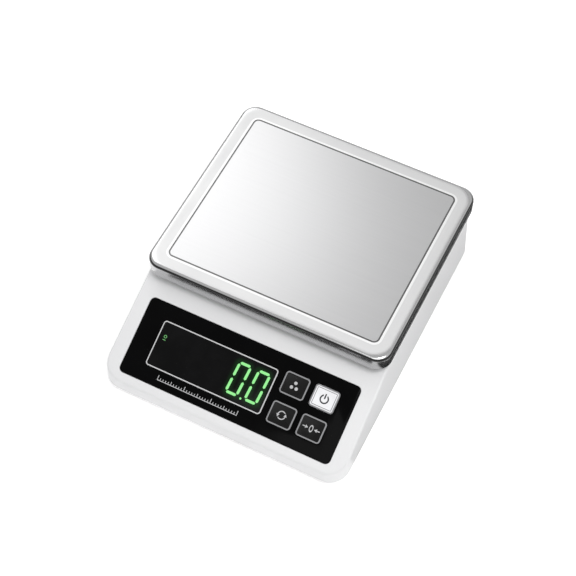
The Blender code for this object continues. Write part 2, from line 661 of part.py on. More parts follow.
def make_carrier():
    """Ribbed plastic tray, open underneath, that the pan's pads sit on."""
    origin = (0, POST_Y, CARRIER_BOTTOM)
    block = slab((*CARRIER_SIZE, CARRIER_TOP - CARRIER_BOTTOM), 8.0, 4, rim=1.0)
    tray = part("carrier", GREY_ABS, [(block, spanning(0, PAN_Y, CARRIER_BOTTOM, CARRIER_TOP))],
                origin=origin)
    ceiling = CARRIER_TOP - CARRIER_PLATE
    inside = grown(CARRIER_SIZE, -CARRIER_WALL)
    hollow = slab((*inside, 20.0), 6.0)
    cut(tray, "carrier_hollow", [(hollow, spanning(0, PAN_Y, ceiling - 20.0, ceiling))])
    root, rib_low = ceiling + 0.5, CARRIER_BOTTOM + 1.5
    rib_x, rib_y = RIB_PLACES
    along = [(slab((RIB, inside[1] + 1.0, root - rib_low)), spanning(side * rib_x, PAN_Y, rib_low, root))
             for side in SIDES]
    join(tray, "carrier_ribs_along", along)
    across = [(slab((inside[0] + 1.0, RIB, root - rib_low)),
               spanning(0, PAN_Y + side * rib_y, rib_low, root))
              for side in SIDES]
    join(tray, "carrier_ribs_across", across)
    boss_low = POST_HIGH + GAP
    bosses = [(slab((*MOUNT_BLOCK, root - boss_low), MOUNT_CORNER), spanning(0, POST_Y, boss_low, root))]
    bosses += [(rod(STOP_BOSS, root - CARRIER_BOTTOM, 12), spanning(x, y, CARRIER_BOTTOM, root))
               for x, y in around_pan(*STOP_PLACES).values()]
    join(tray, "carrier_bosses", bosses)
    cut(tray, "carrier_bolt_holes", [(rod(BOLT_HOLE, 30.0, 12), at(0, y, CARRIER_TOP))
                                     for y in post_bolt_places()])
    seats = [(rod(COUNTERBORE, 2 * COUNTERBORE_DEPTH, 14), at(0, y, CARRIER_TOP))
             for y in post_bolt_places()]
    cut(tray, "carrier_counterbores", seats)
    pad_low, pad_high = CARRIER_TOP + GAP, PAN_TOP - PAN_SHEET - GAP
    chamfer = 0.5
    outline = [(0.0, pad_high), (PAD_RADIUS - chamfer, pad_high), (PAD_RADIUS, pad_high - chamfer),
               (PAD_RADIUS, pad_low), (0.0, pad_low)]
    for corner, (x, y) in around_pan(*PAD_PLACES).items():
        part("pan_pad_" + corner, RUBBER_GREY, [(turned(outline, 14), at(x, y, 0))], origin=(x, y, pad_low))


def make_pan():
    """Pressed steel cover with a rolled edge, a deep skirt and a pressed border line."""
    bm = slab((*PAN_SIZE, PAN_SKIRT), PAN_CORNER, 6, rim=PAN_ROLL, rim_steps=4)
    floor = [f for f in bm.faces if f.normal.z < -0.9]
    bmesh.ops.delete(bm, geom=floor, context="FACES_ONLY")
    place = spanning(0, PAN_Y, PAN_TOP - PAN_SKIRT, PAN_TOP)
    pan = part("pan", STEEL, [(bm, place)], origin=(0, PAN_Y, PAN_TOP))
    sheet = pan.modifiers.new("sheet", "SOLIDIFY")
    sheet.thickness = PAN_SHEET * MM
    sheet.offset = -1.0
    sheet.use_even_offset = True
    sheet.use_quality_normals = True
    line = ring(grown(PAN_SIZE, -PAN_LINE_INSET), PAN_LINE_CORNER, PAN_LINE_WIDTH, 2 * PAN_LINE_DEPTH)
    cut(pan, "border_line", [(line, at(0, PAN_Y, PAN_TOP))])


# ---------------------------------------------------------------- power

def make_battery():
    """Two rechargeable cells in the bay, their contacts, and the sealed cover below them."""
    low, high = BASE_LOW, BASE_LOW + COVER_SEAT - GAP
    middle_x, middle_y = BAY_CENTRE
    lie = Matrix.Rotation(math.pi / 2, 4, "X")
    for name, side in zip(("left", "right"), SIDES):
        place = (middle_x + side * (CELL_RADIUS + GAP), middle_y, CELL_HEIGHT)
        part("battery_cell_" + name, CELL_SLEEVE, [(rod(CELL_RADIUS, CELL_LENGTH, 20), at(*place) @ lie)],
             origin=place)
    for name, side in zip(("front", "back"), SIDES):
        place = (middle_x, middle_y + side * (CELL_LENGTH / 2 + CONTACT_GAP), CELL_HEIGHT)
        part("battery_contact_" + name, STEEL, [(slab(CONTACT_SIZE), at(*place))], origin=place)
    plate = slab((*grown(BAY_SIZE, BAY_COVER_LIP - GAP), high - low), COVER_CORNER - GAP)
    cover = part("battery_cover", WHITE_ABS, [(plate, spanning(*BAY_CENTRE, low, high))])
    screws = cover_screw_places()
    holes = [(rod(SCREW_RADIUS + GAP, THROUGH, 10), at(x, y, low)) for x, y in screws.values()]
    cut(cover, "cover_holes", holes)
    heads = [(rod(SCREW_HEAD + GAP, 2.0, 12), at(x, y, low)) for x, y in screws.values()]
    cut(cover, "cover_counterbores", heads)
    seal_width, seal_high = BAY_SEAL
    seal = ring(grown(BAY_SIZE, -0.4), 1.6, seal_width, seal_high)
    part("battery_seal", RUBBER_WHITE, [(seal, spanning(*BAY_CENTRE, high + GAP, high + GAP + seal_high))])
    for name, (x, y) in screws.items():
        screw = bolt(COVER_SCREW_LENGTH, *COVER_SCREW, 10)
        part("battery_cover_screw_" + name, SCREW_STEEL, [(screw, at(x, y, low + 0.7) @ HEAD_DOWN)],
             origin=(x, y, low))


def make_port():
    """Charging socket on its small board, behind a rubber plug in the back wall."""
    width, depth, high = SOCKET_SIZE
    mouth = PORT_FLOOR_Y - 1.0
    shell = part("charge_socket", STEEL, [(slab(SOCKET_SIZE), at(PORT_X, mouth - depth / 2, PORT_Z))])
    hollow = slab((width - 2 * SOCKET_WALL, depth, high - 2 * SOCKET_WALL))
    cut(shell, "socket_hollow", [(hollow, at(PORT_X, mouth - depth / 2 + 2 * SOCKET_WALL, PORT_Z))])
    top = PORT_Z - high / 2 - GAP
    part("charge_board", BOARD_GREEN,
         [(slab(CHARGE_BOARD), spanning(PORT_X, mouth - 11.0, top - CHARGE_BOARD[2], top))])
    plate = PORT_FLOOR_Y + GAP
    nose_in = Matrix.Rotation(math.pi / 2, 4, "X")
    plug = stepped(PLUG_FLANGE, PLUG_SHOULDER, PLUG_NOSE)
    part("port_plug", RUBBER_GREY, [(plug, at(PORT_X, plate + PLUG_FLANGE[2] / 2, PORT_Z) @ nose_in)],
         origin=(PORT_X, plate, PORT_Z))


def make_lead(name, points, radius):
    """An insulated lead inside the housing, on a smooth curve through its points."""
    data = bpy.data.curves.new(name, "CURVE")
    data.dimensions = "3D"
    data.bevel_depth = radius * MM
    data.bevel_resolution = 1
    data.use_fill_caps = True
    spline = data.splines.new("POLY")
    route = smooth_route([Vector(p) for p in points], 4)
    spline.points.add(len(route) - 1)
    for target, point in zip(spline.points, route):
        target.co = (*(point * MM), 1.0)
    item = bpy.data.objects.new(name, data)
    data.materials.append(LEAD_PVC)
    PARTS.objects.link(item)


def smooth_route(points, steps):
    """Catmull-Rom points through the route's own points."""
    padded = [2 * points[0] - points[1]] + points + [2 * points[-1] - points[-2]]
    route = []
    for a, b, c, d in zip(padded, padded[1:], padded[2:], padded[3:]):
        for step in range(steps):
            t = step / steps
            route.append(0.5 * (2 * b + (c - a) * t + (2 * a - 5 * b + 4 * c - d) * t ** 2
                                + (3 * b - a - 3 * c + d) * t ** 3))
    return route + [points[-1]]


make_upper_housing()
make_base()
make_housing_hardware()
make_panel()
make_keys()
make_electronics()
make_load_cell()
make_post_seal()
make_carrier()
make_pan()
make_battery()
make_port()
make_lead("load_cell_lead",
          [(8.6, 36.5, 24), (16, 25.3, 17), (17, 0, 12), (16, -26, 12), (16, -44, 16)], 1.1)
make_lead("battery_lead", [(-20, 11.3, 22), (-14, 1.3, 18), (-18, -20, 12), (-40, -40, 14)], 1.0)
make_lead("charge_lead", [(45, 79.8, 18), (45, 69.3, 15), (44, 30, 12), (42, -20, 12), (40, -44, 16)], 1.0)
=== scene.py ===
import json
import math

import bmesh
import bpy
from mathutils import Matrix, Vector


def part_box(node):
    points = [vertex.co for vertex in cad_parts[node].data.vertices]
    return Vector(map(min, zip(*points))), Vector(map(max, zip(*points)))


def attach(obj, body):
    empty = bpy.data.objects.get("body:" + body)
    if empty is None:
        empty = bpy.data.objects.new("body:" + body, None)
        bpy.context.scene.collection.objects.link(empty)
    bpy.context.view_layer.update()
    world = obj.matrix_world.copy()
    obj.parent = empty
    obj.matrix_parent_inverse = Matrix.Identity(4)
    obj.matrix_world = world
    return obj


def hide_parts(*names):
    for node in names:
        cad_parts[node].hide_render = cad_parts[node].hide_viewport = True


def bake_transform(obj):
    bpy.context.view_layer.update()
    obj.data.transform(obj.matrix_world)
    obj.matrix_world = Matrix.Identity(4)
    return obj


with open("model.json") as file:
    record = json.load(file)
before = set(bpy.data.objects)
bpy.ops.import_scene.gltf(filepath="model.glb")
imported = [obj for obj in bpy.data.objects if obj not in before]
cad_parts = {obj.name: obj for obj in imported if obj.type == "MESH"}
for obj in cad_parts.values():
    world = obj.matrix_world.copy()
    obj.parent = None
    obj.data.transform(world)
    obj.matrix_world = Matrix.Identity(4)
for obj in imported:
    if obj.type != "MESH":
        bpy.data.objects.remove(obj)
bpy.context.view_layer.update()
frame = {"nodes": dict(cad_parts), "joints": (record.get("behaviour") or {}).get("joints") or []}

# A digital gram scale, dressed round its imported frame. Lengths are in metres, with small ones
# written in millimetres times mm.
mm = 0.001


# ---------------------------------------------------------------- studio
# A pale table top, lit a little from within as a light table is, one broad soft box over the
# far left corner, one overhead and one in front. The tent is bright above and dim round its
# foot. A dark card lies close by the right side, seen only in reflections and casting no
# shadow: a painted dark reflection, which only the polished steel sees.
CAMERA_PLACE = Vector((0.2330, -0.4679, 0.8560))
CAMERA_AZIMUTH = math.radians(26.73)
CAMERA_ELEVATION = math.radians(57.70)
CAMERA_LENS = 90.86
CAMERA_SENSOR = 36.0
FLOOR_SIZE = 30.0
SKY_BANDS = ((0.00, 0.40), (0.06, 0.22), (0.28, 0.22), (0.44, 0.64), (1.00, 0.57))
TABLE_GLOW = 0.28
DARK_CARD_PLACE = (0.112, 0.050, 0.4 * mm)
DARK_CARD_SIZE = (0.045, 0.270, 1.0)
SOFT_BOXES = (
    # name, place, aims at, width, height, watts
    ("key_box", (-0.66, 0.56, 0.85), (0.0, 0.05, 0.0), 0.7, 0.8, 2.4),
    ("top_box", (0.50, -0.15, 1.20), (0.0, 0.0, 0.0), 0.5, 0.5, 5.6),
    ("front_box", (0.30, -0.85, 1.25), (0.0, -0.05, 0.0), 0.9, 0.7, 2.6),
)

towards_camera = Vector((math.sin(CAMERA_AZIMUTH) * math.cos(CAMERA_ELEVATION),
                         -math.cos(CAMERA_AZIMUTH) * math.cos(CAMERA_ELEVATION),
                         math.sin(CAMERA_ELEVATION)))
camera = bpy.data.objects.new("camera", bpy.data.cameras.new("camera"))
bpy.context.scene.collection.objects.link(camera)
camera.data.lens = CAMERA_LENS
camera.data.sensor_width = CAMERA_SENSOR
camera.location = CAMERA_PLACE
camera.rotation_mode = "QUATERNION"
camera.rotation_quaternion = (-towards_camera).to_track_quat("-Z", "Y")
bpy.context.scene.camera = camera
bpy.context.scene.view_settings.view_transform = "Standard"

for name, place, aim, width, height, watts in SOFT_BOXES:
    light = bpy.data.lights.new(name, "AREA")
    light.shape = "RECTANGLE"
    light.size, light.size_y, light.energy = width, height, watts
    box = bpy.data.objects.new(name, light)
    bpy.context.scene.collection.objects.link(box)
    box.location = place
    box.rotation_mode = "QUATERNION"
    box.rotation_quaternion = (Vector(aim) - Vector(place)).to_track_quat("-Z", "Y")
    box.visible_camera = False

sky = bpy.data.worlds.new("light_tent")
bpy.context.scene.world = sky
sky.use_nodes = True
tree = sky.node_tree
tree.nodes.clear()
heading = tree.nodes.new("ShaderNodeTexCoord")
parts = tree.nodes.new("ShaderNodeSeparateXYZ")
bands = tree.nodes.new("ShaderNodeValToRGB")
tent = tree.nodes.new("ShaderNodeBackground")
backdrop = tree.nodes.new("ShaderNodeBackground")
seen = tree.nodes.new("ShaderNodeLightPath")
either = tree.nodes.new("ShaderNodeMixShader")
sky_out = tree.nodes.new("ShaderNodeOutputWorld")
while len(bands.color_ramp.elements) < len(SKY_BANDS):
    bands.color_ramp.elements.new(0.5)
for element, (height, brightness) in zip(bands.color_ramp.elements, SKY_BANDS):
    element.position = height
    element.color = (brightness, brightness, brightness, 1.0)
backdrop.inputs["Color"].default_value = (1.0, 1.0, 1.0, 1.0)
tree.links.new(heading.outputs["Generated"], parts.inputs["Vector"])
tree.links.new(parts.outputs["Z"], bands.inputs["Fac"])
tree.links.new(bands.outputs["Color"], tent.inputs["Color"])
tree.links.new(seen.outputs["Is Camera Ray"], either.inputs[0])
tree.links.new(tent.outputs[0], either.inputs[1])
tree.links.new(backdrop.outputs[0], either.inputs[2])
tree.links.new(either.outputs[0], sky_out.inputs["Surface"])


def studio_sheet(name, finish, size, place, tone, roughness):
    """A flat sheet that stands in the studio and isn't part of the scale, and its shader."""
    bpy.ops.object.select_all(action="DESELECT")
    bpy.ops.mesh.primitive_plane_add(size=size, location=place)
    sheet = bpy.context.object
    sheet.name = name
    sheet.data.materials.append(bpy.data.materials.new(finish))
    sheet.active_material.use_nodes = True
    shader = sheet.active_material.node_tree.nodes["Principled BSDF"]
    shader.inputs["Base Color"].default_value = (tone, tone, tone, 1.0)
    shader.inputs["Roughness"].default_value = roughness
    return sheet, shader


table_shader = studio_sheet("table_top", "pale_table", FLOOR_SIZE, (0.0, 0.0, -0.05 * mm),
                            0.97, 0.9)[1]
table_shader.inputs["Specular IOR Level"].default_value = 0.1
table_shader.inputs["Emission Color"].default_value = (1.0, 1.0, 1.0, 1.0)
table_shader.inputs["Emission Strength"].default_value = TABLE_GLOW
# The dark card is seen by glossy rays only: a painted dark reflection in the steel.
card = studio_sheet("dark_card", "black_card", 1.0, DARK_CARD_PLACE, 0.01, 1.0)[0]
card.scale = DARK_CARD_SIZE
card.visible_camera = card.visible_diffuse = card.visible_shadow = False


# ---------------------------------------------------------------- weighing pan
# One pressed sheet of stainless steel, 0.8 mm thick: a brushed plate inside a pressed border
# line, a smoother margin, a rolled edge and a deep skirt whose raw edge is turned in. It lifts
# off the four pads of the carrier.
PAN_CORNER = 10.6 * mm
PAN_ROLL = 2.8 * mm
PAN_SHEET = 0.8 * mm
PAN_HEM = 1.4 * mm
HEM_BEND = 0.6 * mm
LINE_INSET = 11.4 * mm
LINE_WIDTH = 0.9 * mm
LINE_DEPTH = 0.3 * mm
LINE_CORNER = 4.0 * mm
PLATE_TONES = ((0.62, 0.62, 0.625), (0.68, 0.68, 0.685))
# The margin's tones are lighter than the plate's steel: a painted sheen over a real, rougher satin.
MARGIN_PAINTED_SHEEN_TONES = ((0.79, 0.79, 0.79), (0.76, 0.76, 0.765))
# A painted highlight: a near-white band along the outer lip of the border line.
LIP_PAINTED_HIGHLIGHT_TONE = (0.97, 0.97, 0.97)
# Painted shade, with some dirt, in the pressed border line.
LINE_SHADE_AND_DIRT_TONE = (0.16, 0.16, 0.16)
ROLL_TONE = (0.62, 0.62, 0.625)
# Painted shade: the skirt is darker than the steel of the plate.
SKIRT_PAINTED_SHADE_TONE = (0.52, 0.52, 0.525)
# A painted dark reflection: a near-black band low on the roll.
PAINTED_DARK_REFLECTION_TONE = (0.045, 0.045, 0.045)
# Band of the painted lip highlight, by distance from the line.
LIP_PAINTED_HIGHLIGHT_BAND = (0.5 * mm, 0.7 * mm, 1.9 * mm, 2.3 * mm)
# Band of the painted dark reflection, by depth below the top.
PAINTED_DARK_REFLECTION_BAND = (0.45 * mm, 0.9 * mm, 2.1 * mm, 2.6 * mm)
FINE = 0.01 * mm
FLOAT, VECTOR = "NodeSocketFloat", "NodeSocketVector"


def make_active(piece):
    """Leave one object selected and active, in object mode."""
    if bpy.context.object and bpy.context.object.mode != "OBJECT":
        bpy.ops.object.mode_set(mode="OBJECT")
    bpy.ops.object.select_all(action="DESELECT")
    piece.select_set(True)
    bpy.context.view_layer.objects.active = piece


def settle(piece):
    """Put a piece's place, turn and size into its mesh."""
    make_active(piece)
    bpy.ops.object.transform_apply(location=True, rotation=True, scale=True)


def pick(piece, kind, test):
    """In edit mode, select the corners, edges or faces of a piece that pass a test."""
    make_active(piece)
    bpy.ops.object.mode_set(mode="EDIT")
    bpy.ops.mesh.select_mode(type=kind)
    bpy.ops.mesh.select_all(action="DESELECT")
    mesh = bmesh.from_edit_mesh(piece.data)
    for item in {"VERT": mesh.verts, "EDGE": mesh.edges, "FACE": mesh.faces}[kind]:
        item.select_set(bool(test(item)))
    bmesh.update_edit_mesh(piece.data)


def close_edit():
    bpy.ops.object.mode_set(mode="OBJECT")


def upright(edge):
    return abs(edge.verts[0].co.z - edge.verts[1].co.z) > 0.9 * edge.calc_length()


def at_height(height):
    """A test for what lies wholly at one height."""
    return lambda item: all(abs(v.co.z - height) < FINE for v in item.verts)


def round_picked(radius, steps):
    bpy.ops.mesh.bevel(offset=radius, segments=steps, affect="EDGES", clamp_overlap=False)


def round_rim(piece, height, radius, steps):
    """Round the edges of a piece that lie wholly at one height."""
    pick(piece, "EDGE", at_height(height))
    round_picked(radius, steps)
    close_edit()


def block(name, size, centre, corner=0.0, steps=8):
    """A cube at its size and place, with its upright edges rounded."""
    bpy.ops.object.select_all(action="DESELECT")
    bpy.ops.mesh.primitive_cube_add(size=1.0, location=centre, scale=size)
    piece = bpy.context.object
    piece.name = name
    settle(piece)
    if corner:
        pick(piece, "EDGE", upright)
        round_picked(corner, steps)
        close_edit()
    return piece


def take_out_middle(piece, width):
    """Leave only a frame of even width of a flat piece."""
    pick(piece, "FACE", lambda face: abs(face.normal.z) > 0.9)
    bpy.ops.mesh.inset(thickness=width)
    bpy.ops.mesh.bridge_edge_loops()
    close_edit()


def carve(piece, tool, operation="DIFFERENCE"):
    """Cut a tool out of a piece, or join it on, and clear the tool away."""
    change = piece.modifiers.new("carve", "BOOLEAN")
    change.operation = operation
    change.solver = "EXACT"
    change.object = tool
    make_active(piece)
    bpy.ops.object.modifier_apply(modifier=change.name)
    bpy.data.objects.remove(tool)


def clean(piece, angle=35.0):
    """Merge doubles, turn the faces outwards, and smooth all but the sharp edges."""
    pick(piece, "VERT", lambda corner: True)
    bpy.ops.mesh.remove_doubles(threshold=0.001 * mm)
    bpy.ops.mesh.normals_make_consistent(inside=False)
    close_edit()
    bpy.ops.object.shade_smooth_by_angle(angle=math.radians(angle))


def finish_with(piece, material, body, slot, *nodes):
    """Give a new piece its material and its body, and hide the nodes it stands for. The slot is not
    used.
    """
    piece.data.materials.clear()
    piece.data.materials.append(material)
    if body:
        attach(piece, body)
    if nodes:
        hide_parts(*nodes)


def group_of(name, inputs, outputs):
    """A new shader node group, with its entry and its exit."""
    group = bpy.data.node_groups.new(name, "ShaderNodeTree")
    for label, kind in inputs:
        group.interface.new_socket(name=label, in_out="INPUT", socket_type=kind)
    for label, kind in outputs:
        group.interface.new_socket(name=label, in_out="OUTPUT", socket_type=kind)
    return group, group.nodes.new("NodeGroupInput"), group.nodes.new("NodeGroupOutput")


def feed(tree, socket, value):
    """Link a socket to an output, or set it to a plain value."""
    if isinstance(value, bpy.types.NodeSocket):
        tree.links.new(value, socket)
    else:
        socket.default_value = value


def reckon(tree, operation, *values):
    """A Math node, which takes outputs or numbers."""
    node = tree.nodes.new("ShaderNodeMath")
    node.operation = operation
    for socket, value in zip(node.inputs, values):
        feed(tree, socket, value)
    return node.outputs[0]


def step_between(tree, value, low, high):
    """Zero below `low` and one above `high`, with a smooth rise between them."""
    node = tree.nodes.new("ShaderNodeMapRange")
    node.interpolation_type = "SMOOTHSTEP"
    feed(tree, node.inputs["Value"], value)
    feed(tree, node.inputs["From Min"], low)
    feed(tree, node.inputs["From Max"], high)
    return node.outputs["Result"]


def band(tree, value, rise, full, fall, end):
    """One between `full` and `fall`, and zero before `rise` and after `end`."""
    return reckon(tree, "SUBTRACT", step_between(tree, value, rise, full),
                  step_between(tree, value, fall, end))


def spread(tree, value, low, high):
    """A mask stretched to run from one value to another."""
    node = tree.nodes.new("ShaderNodeMapRange")
    feed(tree, node.inputs["Value"], value)
    node.inputs["To Min"].default_value = low
    node.inputs["To Max"].default_value = high
    return node.outputs["Result"]


def blend_colours(tree, mask, first, second):
    """The first colour where the mask is zero, and the second where it is one."""
    node = tree.nodes.new("ShaderNodeMix")
    node.data_type = "RGBA"
    feed(tree, node.inputs["Factor"], mask)
    for label, colour in (("A", first), ("B", second)):
        linked = isinstance(colour, bpy.types.NodeSocket)
        feed(tree, node.inputs[label], colour if linked else (*colour, 1.0))
    return node.outputs["Result"]


def noise(tree, vector, scale, detail=2.0, roughness=0.5):
    node = tree.nodes.new("ShaderNodeTexNoise")
    feed(tree, node.inputs["Vector"], vector)
    feed(tree, node.inputs["Scale"], scale)
    node.inputs["Detail"].default_value = detail
    node.inputs["Roughness"].default_value = roughness
    return node.outputs["Fac"]


def stretched(tree, vector, amounts):
    """Coordinates multiplied axis by axis."""
    node = tree.nodes.new("ShaderNodeVectorMath")
    node.operation = "MULTIPLY"
    feed(tree, node.inputs[0], vector)
    feed(tree, node.inputs[1], amounts)
    return node.outputs[0]


def rounded_distance_group():
    """The distance from a point to a rounded rectangle's outline, negative inside it."""
    kinds = [(label, FLOAT) for label in ("X", "Y", "Half X", "Half Y", "Corner")]
    group, entry, leave = group_of("rounded_distance", kinds, [("Distance", FLOAT)])
    past = []
    for axis in ("X", "Y"):
        reach = reckon(group, "SUBTRACT", entry.outputs["Half " + axis], entry.outputs["Corner"])
        past.append(reckon(group, "SUBTRACT", reckon(group, "ABSOLUTE", entry.outputs[axis]), reach))
    squares = [reckon(group, "POWER", reckon(group, "MAXIMUM", side, 0.0), 2.0) for side in past]
    outside = reckon(group, "SQRT", reckon(group, "ADD", *squares))
    inside = reckon(group, "MINIMUM", reckon(group, "MAXIMUM", *past), 0.0)
    total = reckon(group, "SUBTRACT", reckon(group, "ADD", outside, inside), entry.outputs["Corner"])
    group.links.new(total, leave.inputs["Distance"])
    return group


def smudge_group():
    """Soft uneven patches, as skin and wiping cloths leave them, with fine specks of dust."""
    group, entry, leave = group_of("smudges", [("Vector", VECTOR), ("Scale", FLOAT)],
                                   [("Patches", FLOAT), ("Specks", FLOAT)])
    broad = noise(group, entry.outputs["Vector"], entry.outputs["Scale"], 4.0, 0.6)
    speck_scale = reckon(group, "MULTIPLY", entry.outputs["Scale"], 60.0)
    small = noise(group, entry.outputs["Vector"], speck_scale, 1.0)
    group.links.new(step_between(group, broad, 0.38, 0.68), leave.inputs["Patches"])
    group.links.new(step_between(group, small, 0.74, 0.80), leave.inputs["Specks"])
    return group


def brush_group():
    """The fine parallel scratches of a brushing belt, as a height and as a mask."""
    group, entry, leave = group_of("brush_marks", [("Vector", VECTOR), ("Stretch", VECTOR)],
                                   [("Height", FLOAT), ("Mask", FLOAT)])
    along = stretched(group, entry.outputs["Vector"], entry.outputs["Stretch"])
    fine = noise(group, along, 1.0, 3.0, 0.7)
    coarse = noise(group, along, 0.22, 1.0)
    group.links.new(fine, leave.inputs["Height"])
    mean = reckon(group, "MULTIPLY", reckon(group, "ADD", fine, coarse), 0.5)
    group.links.new(mean, leave.inputs["Mask"])
    return group


ROUNDED_DISTANCE = rounded_distance_group()
SMUDGES = smudge_group()
BRUSH_MARKS = brush_group()


def placed_group(tree, group, **values):
    """A node group in a material, with its inputs linked or set."""
    node = tree.nodes.new("ShaderNodeGroup")
    node.node_tree = group
    for label, value in values.items():
        feed(tree, node.inputs[label.replace("_", " ")], value)
    return node


def material_named(name, roughness=0.5, metallic=0.0, specular=0.5):
    """A new material with its shader, its tree and its object coordinates."""
    material = bpy.data.materials.new(name)
    material.use_nodes = True
    tree = material.node_tree
    shader = tree.nodes["Principled BSDF"]
    shader.inputs["Roughness"].default_value = roughness
    shader.inputs["Metallic"].default_value = metallic
    shader.inputs["Specular IOR Level"].default_value = specular
    return material, tree, shader, tree.nodes.new("ShaderNodeTexCoord").outputs["Object"]


def paint(tree, shader, colour, roughness):
    """Link the shader's colour and its roughness."""
    tree.links.new(colour, shader.inputs["Base Color"])
    tree.links.new(roughness, shader.inputs["Roughness"])


def smudges_on(tree, vector, scale):
    """The patches and the specks of the smudge group, at one size."""
    outputs = placed_group(tree, SMUDGES, Vector=vector, Scale=scale).outputs
    return outputs["Patches"], outputs["Specks"]


def raise_by(tree, shader, height, distance, strength=1.0):
    """A Bump node on the shader's normal."""
    bump = tree.nodes.new("ShaderNodeBump")
    bump.inputs["Strength"].default_value = strength
    bump.inputs["Distance"].default_value = distance
    feed(tree, bump.inputs["Height"], height)
    tree.links.new(bump.outputs["Normal"], shader.inputs["Normal"])


def outline(tree, x, y, half, corner):
    """The distance from a rounded rectangle of one half size about the origin."""
    return placed_group(tree, ROUNDED_DISTANCE, X=x, Y=y, Half_X=half[0], Half_Y=half[1],
                        Corner=corner).outputs["Distance"]


def moved_to(tree, vector, centre, turn=0.0):
    """Coordinates about a centre, turned back about X by a slope."""
    node = tree.nodes.new("ShaderNodeMapping")
    back_turn = Matrix.Rotation(-turn, 3, "X")
    node.inputs["Rotation"].default_value = (-turn, 0.0, 0.0)
    node.inputs["Location"].default_value = -(back_turn @ Vector(centre))
    feed(tree, node.inputs["Vector"], vector)
    return node.outputs["Vector"]


def sides_of(tree, vector):
    node = tree.nodes.new("ShaderNodeSeparateXYZ")
    tree.links.new(vector, node.inputs["Vector"])
    return node.outputs


def middle_of(node):
    low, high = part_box(node)
    return (low + high) / 2


pan_low, pan_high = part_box("pan")
pan_size = pan_high - pan_low
pan_middle = middle_of("pan")
line_size = (pan_size.x - 2 * LINE_INSET, pan_size.y - 2 * LINE_INSET)


def pan_steel():
    """Brushed inside the border line, satin outside it and polished on the roll, with painted light:
    shade and some dirt in the line, a highlight on its outer lip, a lighter sheen on the margin, shade
    on the skirt and a dark reflection low on the roll.
    """
    material, tree, shader, coordinates = material_named("pan_steel", metallic=1.0)
    local = moved_to(tree, coordinates, pan_middle)
    x, y, z = sides_of(tree, local)
    distance = outline(tree, x, y, [(side - LINE_WIDTH) / 2 for side in line_size],
                       LINE_CORNER - LINE_WIDTH / 2)
    depth = reckon(tree, "SUBTRACT", pan_size.z / 2, z)
    outside = step_between(tree, distance, 0.1 * mm, 0.5 * mm)
    brushed = reckon(tree, "SUBTRACT", 1.0, outside)
    # The pressed line is darkened: painted shade, with some dirt.
    line_shade_and_dirt = step_between(tree, reckon(tree, "ABSOLUTE", distance), 0.62 * mm, 0.40 * mm)
    outer = step_between(tree, distance, 7.4 * mm, 10.6 * mm)
    # The skirt below the roll: its tone carries painted shade, and its roughness is a little higher.
    skirt = step_between(tree, depth, 2.2 * mm, 3.0 * mm)
    brush = placed_group(tree, BRUSH_MARKS, Vector=local, Stretch=(30.0, 2600.0, 30.0))
    patches = smudges_on(tree, local, 22.0)[0]
    plate = blend_colours(tree, brush.outputs["Mask"], *PLATE_TONES)
    # The margin is a rougher satin, and its lighter tone is a painted sheen.
    margin = blend_colours(tree, patches, *MARGIN_PAINTED_SHEEN_TONES)
    colour = blend_colours(tree, outside, plate, margin)
    # Laid over the steel: a painted lip highlight, painted shade and dirt in the line, the roll's own
    # tone, painted skirt shade and a painted dark reflection low on the roll.
    for mask, tone in ((band(tree, distance, *LIP_PAINTED_HIGHLIGHT_BAND), LIP_PAINTED_HIGHLIGHT_TONE), (line_shade_and_dirt, LINE_SHADE_AND_DIRT_TONE),
                       (outer, ROLL_TONE), (skirt, SKIRT_PAINTED_SHADE_TONE),
                       (band(tree, depth, *PAINTED_DARK_REFLECTION_BAND), PAINTED_DARK_REFLECTION_TONE)):
        colour = blend_colours(tree, mask, colour, tone)
    satin = spread(tree, brush.outputs["Mask"], 0.27, 0.33)
    matt = spread(tree, patches, 0.50, 0.54)
    smooth = reckon(tree, "SUBTRACT", matt, reckon(tree, "MULTIPLY", outer, 0.34))
    smooth = reckon(tree, "ADD", smooth, reckon(tree, "MULTIPLY", skirt, 0.06))
    pick_finish = tree.nodes.new("ShaderNodeMix")
    feed(tree, pick_finish.inputs["Factor"], outside)
    feed(tree, pick_finish.inputs["A"], satin)
    feed(tree, pick_finish.inputs["B"], smooth)
    paint(tree, shader, colour, pick_finish.outputs["Result"])
    raise_by(tree, shader, reckon(tree, "MULTIPLY", brush.outputs["Height"], brushed), 0.004 * mm, 0.6)
    return material


pan = block("steel_pan", pan_size, pan_middle, PAN_CORNER, 14)
round_rim(pan, pan_high.z, PAN_ROLL, 9)
pick(pan, "FACE", lambda face: face.normal.z < -0.9)
bpy.ops.mesh.inset(thickness=PAN_HEM)
bpy.ops.mesh.delete(type="FACE")
pick(pan, "EDGE", lambda edge: sorted(round(face.normal.z) for face in edge.link_faces) == [-1, 0])
round_picked(HEM_BEND, 3)
close_edit()
sheet = pan.modifiers.new("sheet", "SOLIDIFY")
sheet.thickness = PAN_SHEET
sheet.offset = -1.0
sheet.use_even_offset = True
sheet.use_quality_normals = True
make_active(pan)
bpy.ops.object.modifier_apply(modifier=sheet.name)
line_tool = block("line_tool", (*line_size, 2 * LINE_DEPTH), (*pan_middle.xy, pan_high.z),
                  LINE_CORNER)
take_out_middle(line_tool, LINE_WIDTH)
carve(pan, line_tool)
clean(pan)
finish_with(pan, pan_steel(), "pan", "satin_stainless", "pan")


# ---------------------------------------------------------------- pads and carrier
# The pan rests on four soft pads, pressed into the corners of a ribbed tray moulded in grey
# ABS. The tray is bolted to the post of the load cell, and moves down with the load.
PAD_RIM = 0.5 * mm
PAD_DISH = 0.35 * mm
CORNERS = ("front_left", "front_right", "back_left", "back_right")


